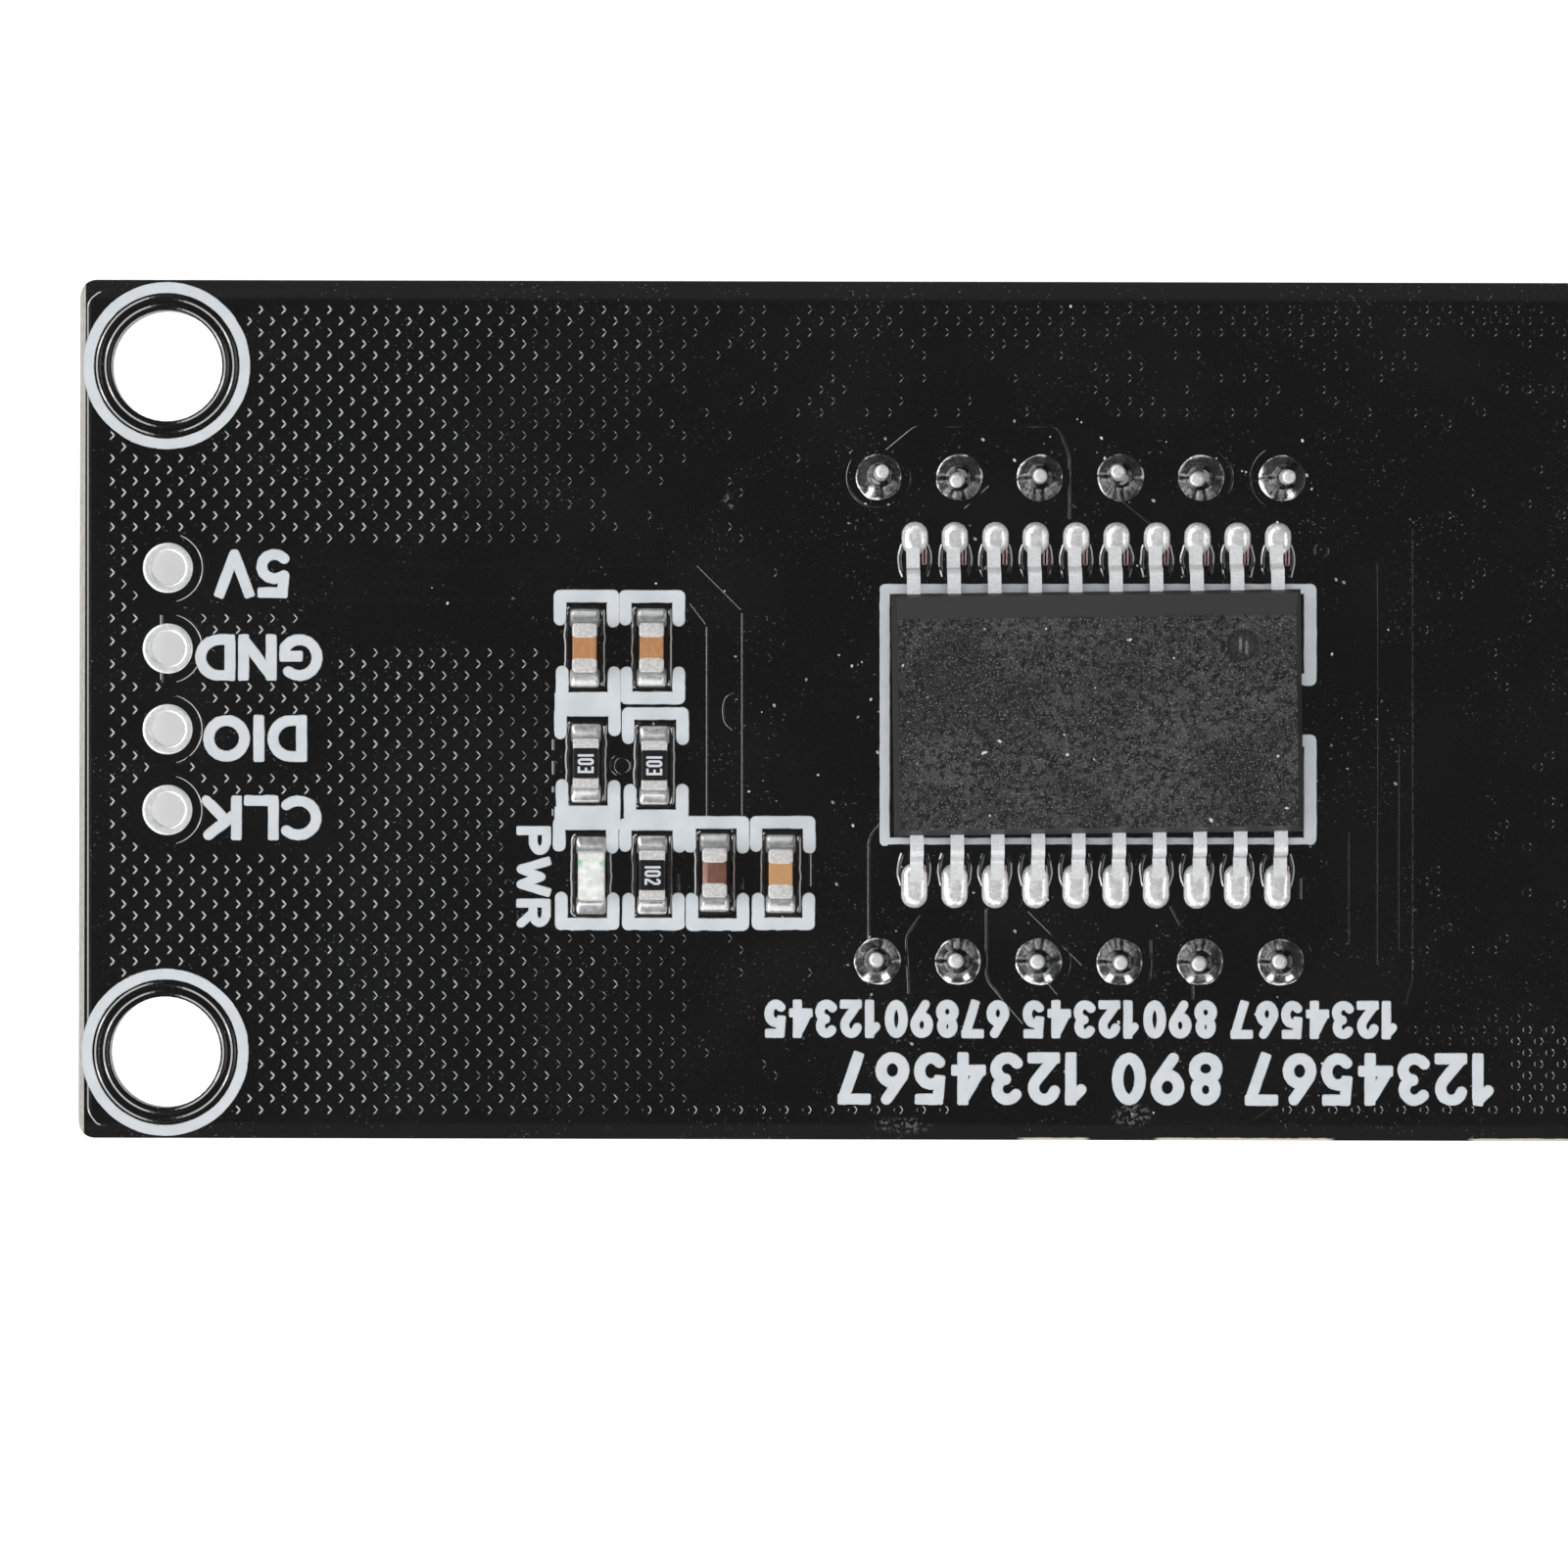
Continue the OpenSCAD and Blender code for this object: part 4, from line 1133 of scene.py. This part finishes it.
def cone(x, y, lean_x, lean_y):
    """A cone of solder whose skin is pushed in and out by smooth noise."""
    rings = []
    for rise, radius in CONE:
        share = rise / CONE[-1][0]
        cx = x + lean_x * share * 0.75
        cy = y + lean_y * share * 0.75
        ring = []
        for px, py, pz in circle(cx, cy, radius, BACK + rise, 40):
            away = noise.noise(Vector((px * 2.2, py * 2.2, rise * 1.5))) * 0.05 * (1 - share * 0.5)
            ring.append((cx + (px - cx) * (1 + away), cy + (py - cy) * (1 + away), pz))
        rings.append(ring)
    return loft(rings)


places = [(x, y, u / UNITS, v / UNITS) for (x, y), (u, v) in zip(PINS, TIPS)]
cones = [cone(*place) for place in places]
posts = [loft([circle(x + lean_x * share, y + lean_y * share, radius, z, 20)
               for z, radius, share in POST]) for x, y, lean_x, lean_y in places]
piece("pin_cones", cones, "solder.dark", "pin_solder_upper", "pin_solder_lower", crease=50)
piece("pin_posts", posts, "pin_metal", *[f"display_pin_{k:02d}" for k in range(1, 13)], crease=50)
print("pins", len(posts))

# %% [markdown]
# ## Cable pads
# Four plated holes take the cable. The tin on them is thicker at its middle than at its edges,
# so the ring is turned from a domed profile and goes down through the hole to the other face.

# %% cable pads
LOW = BACK - BOARD_T
PAD = [(0.53, BACK - 0.02), (0.56, BACK + 0.022), (0.62, BACK + 0.045), (0.69, BACK + 0.05),
       (0.75, BACK + 0.036), (0.785, BACK + 0.008), (0.79, BACK), (0.582, BACK - 0.03),
       (0.582, LOW + 0.03), (0.79, LOW), (0.785, LOW - 0.008), (0.74, LOW - 0.036),
       (0.66, LOW - 0.048), (0.57, LOW - 0.03), (0.53, LOW + 0.02)]
piece("cable_pads", [turned(x, y, PAD, 56) for x, y in PADS], "tinned_copper",
      *[f"header_pad_{k}" for k in range(1, 5)], crease=60)
print("cable pads", len(PADS))

# %% [markdown]
# ## Solder on the driver's leads
# The solder under each lead is a long mound that swells round the toe. Its rings shrink toward
# a centre line, and their height follows a rounded section times a swelling toward the toe. One
# mound is made for each row and the tree repeats it with a slight change of turn. Above it, a
# small drop of solder wets the lead, and the mask opening shows as a curved ridge on each side.

# %% lead solder
LAND = (0.515, -0.135)
LEAD_X = [PITCH / 2 * (k - 4.5) for k in range(10)]
TOE = 6.08
HALF = 0.415
RISE = 0.18
SWELL = 0.12


def mound(name, side, heel):
    """A stadium-shaped mound along y, toe outward, as a source shape at the origin."""
    levels = []
    for k in range(10):
        inset = (k / 9) ** 0.8 * 0.96
        radius = HALF * (1 - inset)
        ring = (arc(0, side * (TOE - HALF), radius, side * radius, 0, 180, 12)
                + arc(0, side * heel, radius, side * radius, 180, 360, 12))
        round_part = math.sqrt(max(0.0, 1 - (1 - inset) ** 2))
        middle = side * (TOE - HALF * 1.05)
        levels.append([
            (x, y, 0.012 + round_part * (RISE + SWELL * math.exp(-((y - middle) / 0.5) ** 2)))
            for x, y in ring])
    levels.insert(0, [(x, y, 0.0) for x, y, _ in levels[0]])
    return modelled(name, [loft(levels)])


def drop(name, side):
    """A small drop of solder that wets the side of a lead."""
    return modelled(name, [loft([
        slab(0.29, side * 4.98, 0.085 - inset, 0.27 - inset, 0.06, z, 4)
        for z, inset in ((0.0, 0.0), (0.05, 0.004), (0.075, 0.025), (0.08, 0.05))])])


def opening(x, side, hand):
    """The mask's edge on one side of a lead's solder."""
    path = []
    for k in range(11):
        px = x + hand * (0.34 + 0.14 * math.sin(math.pi * (0.06 + 0.84 * k / 10)))
        py = LAND[1] + side * (4.36 + k / 10)
        path.append((px + 0.03 * noise.noise(Vector((px * 3, py * 3, 1))), py))
    return path


outlines = []
spots = [(LAND[0] + x, LAND[1], BACK) for x in LEAD_X]
for side, label, heel in ((1, "upper", 5.44), (-1, "lower", 5.08)):
    source = mound("mound_" + label, side, heel)
    joints = repeated("lead_solder_" + label, source, spots, "solder", 0.0, 0.002, 4 + side)
    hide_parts("driver_solder_" + label)
    bpy.data.objects.remove(source)
    source = drop("drop_" + label, side)
    repeated("lead_wetting_" + label, source, spots, "solder.copper", 0.0, 0.004, 14 + side)
    bpy.data.objects.remove(source)
    outlines.extend(opening(x, side, hand) for x, _, _ in spots for hand in (1, -1))
    print("lead solder", label, len(joints.data.polygons), "faces")
ridges("lead_clearances", outlines, 0.13, 0.03, 0.0255)

# %% [markdown]
# ## Small parts
# Seven chip parts and one lamp stand in the brackets. Their places come from the CAD boxes. The
# pieces have softened edges and metal end caps, and every end has a concave fillet of solder that
# climbs the cap from the pad. All are lofts through rounded rectangles.

# %% small parts
fillets = {"capacitor": [], "resistor": [], "indicator": []}
middles = []


def block(x, y, half_x, half_y, low, high, corner, edge):
    """A box with rounded corners and softened top and bottom edges."""
    steps = ((low, edge * 0.6), (low + edge * 0.6, 0.0), (high - edge, 0.0),
             (high - edge * 0.5, edge * 0.14), (high - edge * 0.15, edge * 0.5), (high, edge))
    return loft([slab(x, y, half_x - inset, half_y - inset, corner, z, 4) for z, inset in steps])


def fillet(x, face, side, half_x, climb, reach, wide=0.485, under=0.14):
    """Solder that climbs an end cap's face; side is +1 or -1 along y."""
    rings = []
    for k in range(10):
        t = k / 9
        spread = (1 - t) ** 2.1
        outer = reach * spread + 0.02
        half_y = (outer + under) / 2
        half = half_x - 0.01 + (wide - half_x) * spread
        z = BACK + 0.022 + (climb - 0.03) * t
        rings.append(slab(x, face + side * (outer - under) / 2, half, half_y,
                          min(0.12, half_y * 0.8), z, 4))
    rings.insert(0, [(px, py, BACK) for px, py, _ in rings[0]])
    return loft(rings)


def extent(node):
    """Middle, half widths, foot and top of a CAD node, in millimetres."""
    low, high = (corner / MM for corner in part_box(node))
    return ((low.x + high.x) / 2, (low.y + high.y) / 2, (high.x - low.x) / 2,
            (high.y - low.y) / 2, low.z, high.z)


def capped(name, part, length, corner, edge, climb, reach):
    """The two end caps of a part, and the solder that climbs them."""
    node = part + "_terminals"
    x, y, hx, hy, low, high = extent(node)
    caps = [block(x, y + s * (hy - length), hx, length, low, high, corner, edge) for s in (1, -1)]
    piece(name, caps, "tinned_terminal", node, crease=60)
    fillets[part.split("_")[0]].extend(
        fillet(x, y + s * hy, s, hx, climb, reach) for s in (1, -1))
    middles.append((x, y))
    return x, y, hx, hy, low, high


for part in [f"capacitor_{k}" for k in range(1, 5)]:
    x, y, hx, hy, low, high = capped(part + "_caps", part, 0.24, 0.12, 0.07, 0.52, 0.44)
    core = block(x, y, hx - 0.015, hy - 0.12, low + 0.02, high - 0.02, 0.04, 0.05)
    piece(part + "_core", [core], SLOT_OF[part + "_body"], part + "_body", crease=60)
for part in [f"resistor_{k}" for k in range(1, 4)]:
    x, y, hx, hy, low, high = capped(part + "_caps", part, 0.15, 0.05, 0.04, 0.36, 0.45)
    core = block(x, y, hx - 0.012, hy - 0.1, low + 0.01, high - 0.03, 0.03, 0.02)
    piece(part + "_core", [core], "white_ceramic", part + "_body", crease=60)
    _, _, hx, hy, _, crown = extent(part + "_coating")
    glaze = block(x, y, hx - 0.01, hy, crown - 0.05, crown, 0.05, 0.03)
    piece(part + "_glaze", [glaze], "black_coating", part + "_coating", crease=60)
capped("lamp_caps", "indicator", 0.12, 0.05, 0.04, 0.3, 0.42)
x, y, hx, hy, low, high = extent("indicator_base")
base = block(x, y, hx - 0.02, hy - 0.08, low, high, 0.04, 0.02)
piece("lamp_floor", [base], "lamp_base", "indicator_base", crease=60)
_, _, hx, _, low, high = extent("indicator_lens")
DOME = ((low, 0.0), (high - 0.12, 0.015), (high - 0.05, 0.045), (high - 0.015, 0.10), (high, 0.18))
dome = loft([slab(*at(604, 894.5), hx + 0.01 - inset, 0.78 - inset, 0.10, z, 5)
             for z, inset in DOME])
piece("lamp_dome", [dome], "lamp_lens", "indicator_lens", crease=60)
for kind, shells in fillets.items():
    piece(kind + "_fillets", shells, "solder.fillet", kind + "_solder", crease=70)
print("small parts", len(middles))

# %% [markdown]
# The resistors carry a three-figure value, printed across the glaze and read with the lamp's
# label. Round each part the mask opening shows as a thin, wavy bright line.

# %% value codes and mask openings
TALL = 0.50
WIDTH = 0.52
PEN = 0.036
GAP = 0.05
codes = []
for k, code, shift in ((1, "ioe", 0.0), (2, "ioe", 0.0), (3, "ioz", 0.02)):
    x, y, _, _, _, crown = extent(f"resistor_{k}_coating")
    _, length = word(code, (0, 0), TALL, WIDTH, PEN, 0.0, GAP)
    start = (x - TALL / 2 + shift, y + length / 2)
    strokes, _ = word(code, start, TALL, WIDTH, PEN, -math.pi / 2, GAP)
    codes.append(ink(strokes, top=crown + 0.012, low=crown - 0.004, flare=0.004, wobble=0.003))
piece("value_codes", codes, "white_ink")
openings = []
for x, y in middles:
    wavy = []
    for px, py in spaced(rounded(x, y, 0.565, 1.25, 0.14, 5), 0.12):
        push = noise.noise(Vector((px * 2.4, py * 2.4, 5.0))) * 0.07
        wavy.append((px + math.copysign(push, px - x) * (abs(px - x) > 0.4), py + push * 0.5))
    openings.append(wavy + [wavy[0]])
ridges("part_openings", openings, 0.125, 0.025, 0.0262)

# %% [markdown]
# ## Dust and a hair
# A few flakes and a curved hair lie where the picture shows them, and more are scattered thinly
# with a fixed seed, mostly round the driver. Most of them are faint.

# %% dust
FLAKE = [(0.05, 0.0), (0.022, 0.03), (-0.02, 0.034), (-0.045, 0.004), (-0.01, -0.03),
         (0.03, -0.026)]
SEEN = [(878, 382), (870, 460), (523, 520), (457, 616), (441, 600), (1017, 427), (1100, 428),
        (1552, 490), (1104, 431), (1242, 468), (1268, 481), (1272, 482), (868, 462), (1036, 470),
        (1120, 462), (1128, 468), (1360, 668), (880, 676), (870, 680), (1500, 640), (1330, 450)]
HAIR = [(712, 350), (713, 345), (716, 340), (719, 335), (724, 331), (729, 329), (736, 327)]
CASE = (0.53, -0.054)
BRIGHT = 60
ALL = 190
scatter = random.Random(21)
spots = [(*at(u, v), BACK + 0.001) for u, v in SEEN]
while len(spots) < ALL:
    u = scatter.gauss(1080, 260)
    v = scatter.gauss(720, 240)
    x, y = at(u, v)
    inside = abs(x) < 30.5 and abs(y) < 12.8
    on_case = abs(x - CASE[0]) < 6.7 and abs(y - CASE[1]) < 4.2
    if inside and not on_case:
        spots.append((x, y, BACK + 0.001))
source = modelled("flake", [loft([[(x * size, y * size, z) for x, y in FLAKE]
                                  for z, size in ((0.0, 1.0), (0.014, 0.8))])], 0)
repeated("dust", source, spots[:BRIGHT], "white_ink", 0.55, 3.1, 9)
repeated("dust_faint", source, spots[BRIGHT:], "white_ink.faint", 0.6, 3.1, 10)
bpy.data.objects.remove(source)
ridges("hair", [path_at(*HAIR)], 0.08, 0.03, 0.0135)
print("flakes", len(spots))

# %% [markdown]
# ## Light levels
# Kept together so the balance is easy to try out: the left lamps are the bright ones, which give
# the pits of the hatched copper their bright right-hand walls. Two of them show only in shine, and
# four fills and a lamp overhead light only matt surfaces, so that no shadow greys the print.

# %% levels
FLOOR_GLOW = 0.6
# strength of the shadow painted into the floor's colour and glow under the cable pads
PAD_SHADE = 0.6
ROOM = 0.07
# name, compass angle, height, distance, width, height of its face and the face's brightness
LAMPS = [
    ("left_back", 138, 32, 0.5, 0.42, 0.20, 4.2),
    ("left_box", 180, 32, 0.5, 0.36, 0.20, 4.2),
    ("left_front", 222, 32, 0.5, 0.42, 0.20, 4.2),
    ("right_box", 0, 34, 0.6, 0.60, 0.16, 2.4),
    ("low_front", 270, 24, 0.6, 0.35, 0.12, 3.2),
    ("low_back", 90, 24, 0.6, 0.35, 0.10, 2.0),
    ("under", 270, -78, 0.5, 0.40, 0.40, 1.2),
    ("glint_left", 241, 8, 0.6, 0.20, 0.12, 5.0),
    ("glint_right", 299, 8, 0.6, 0.20, 0.12, 5.0),
]
GLOSS_ONLY = ("left_back", "left_front")
FILLS = [("fill_" + name, compass, 30, 0.6, 0.3, 0.3, 1.7)
         for name, compass in (("right", 0), ("back", 90), ("left", 180), ("front", 270))]
OVERHEAD = 0.26
OVERHEAD_POWER = 0.30 * 0.36 * math.pi
FILLS.append(("overhead", 0, 90, 0.6, OVERHEAD, OVERHEAD, OVERHEAD_POWER / OVERHEAD ** 2))
print("lamps", len(LAMPS), "and fills", len(FILLS))

# %% [markdown]
# ## Floor, light and camera
# The photograph is a plain product shot on white. The floor is pale and matt, and it adds a
# little light of its own to camera rays only, so that it stays white under the board while the
# object's shading isn't changed. Only a soft patch under the cable pads is darker: a shadow is
# painted there into its colour and its glow. Seen from below it's clear, and it lets light
# through from there, so that the display's face can be looked at too. Large soft lamps at the
# sides stand low enough that the flat, glossy mask mirrors the dark ceiling and only sloping
# edges catch them.

# %% floor
bpy.ops.mesh.primitive_plane_add(size=4.0, location=(0, 0, -0.00002))
floor = bpy.context.object
floor.name = "floor"
floor.visible_glossy = False
paper = Finish("floor_paper", Roughness=1.0, Emission_Strength=FLOOR_GLOW)
ray = paper.node("ShaderNodeLightPath")
# painted shadow: a soft patch under the cable pads gets a darker colour and less glow, so the cable
# holes look grey
under = (paper.x + 28.4).abs().step(0.5, 3.2)
along = (paper.y - 0.63).abs().step(3.9, 8.0)
deep = 1.0 - (1.0 - under) * (1.0 - along) * PAD_SHADE
paper.set(Base_Color=paper.mix(deep, (0.5, 0.5, 0.5), (0.8, 0.8, 0.8)),
          Emission_Color=paper.mix(ray["Is Camera Ray"] * deep, (0, 0, 0), (1, 1, 1)))
below = paper.node("ShaderNodeNewGeometry")["Backfacing"].larger(ray["Is Shadow Ray"])
solid = Sock(paper.tree, paper.shader.outputs["BSDF"])
clear = paper.node("ShaderNodeBsdfTransparent")["BSDF"]
either = paper.node("ShaderNodeMixShader", ins={0: below, 1: solid, 2: clear})["Shader"]
plug(paper.tree, either, paper.tree.nodes["Material Output"].inputs["Surface"])
floor.data.materials.append(paper.material)
print("floor glow", FLOOR_GLOW)

# %% [markdown]
# The lamps are placed round the board by compass angle and height above the horizon. Their
# strength is given as the brightness of the lamp's face, which is what a glossy surface mirrors.

# %% lamps
def lamp(name, compass, height, distance, wide, tall, face):
    data = bpy.data.lights.new(name, "AREA")
    data.shape = "RECTANGLE"
    data.size = wide
    data.size_y = tall
    data.energy = face * math.pi * wide * tall
    rig = placed(name, data)
    a = math.radians(compass)
    e = math.radians(height)
    spot = Vector((math.cos(a) * math.cos(e), math.sin(a) * math.cos(e), math.sin(e))) * distance
    rig.location = spot + Vector((0, 0, BACK * MM))
    rig.rotation_mode = "QUATERNION"
    rig.rotation_quaternion = (-spot).to_track_quat("-Z", "Y")
    return rig


for row in LAMPS:
    lamp(*row).visible_diffuse = row[0] not in GLOSS_ONLY
for row in FILLS:
    lamp(*row).visible_glossy = False
world = bpy.data.worlds.new("room")
world.use_nodes = True
sky = world.node_tree.nodes["Background"]
sky.inputs["Color"].default_value = (1.0, 1.0, 1.0, 1.0)
seen = new_node(world.node_tree, "ShaderNodeLightPath")["Is Camera Ray"]
plain_white = seen * (1.0 - ROOM) + ROOM
plug(world.node_tree, plain_white, sky.inputs["Strength"])
bpy.context.scene.world = world
print("room", ROOM)

# %% [markdown]
# The camera looks straight down from well above, which keeps the hole walls nearly out of sight
# as in the photograph. Its width at the board's back is 49.3 mm, and it's turned by the small
# tilt that the board has in the picture.

# %% camera
PICTURE = 1601
HIGH = 450.0
SENSOR = 36.0
camera_data = bpy.data.cameras.new("camera")
camera_data.type = "PERSP"
camera_data.sensor_width = SENSOR
camera_data.sensor_fit = "HORIZONTAL"
camera_data.lens = SENSOR * HIGH / (PICTURE / UNITS)
camera_data.clip_start = 0.01
camera_data.clip_end = 10.0
camera = placed("camera", camera_data)
middle = at(PICTURE / 2, PICTURE / 2)
camera.location = (middle[0] * MM, middle[1] * MM, (BACK + HIGH) * MM)
camera.rotation_euler = (0, 0, TURN)
bpy.context.scene.camera = camera
bpy.context.scene.view_settings.view_transform = "Standard"
print("camera lens", round(camera_data.lens, 1))
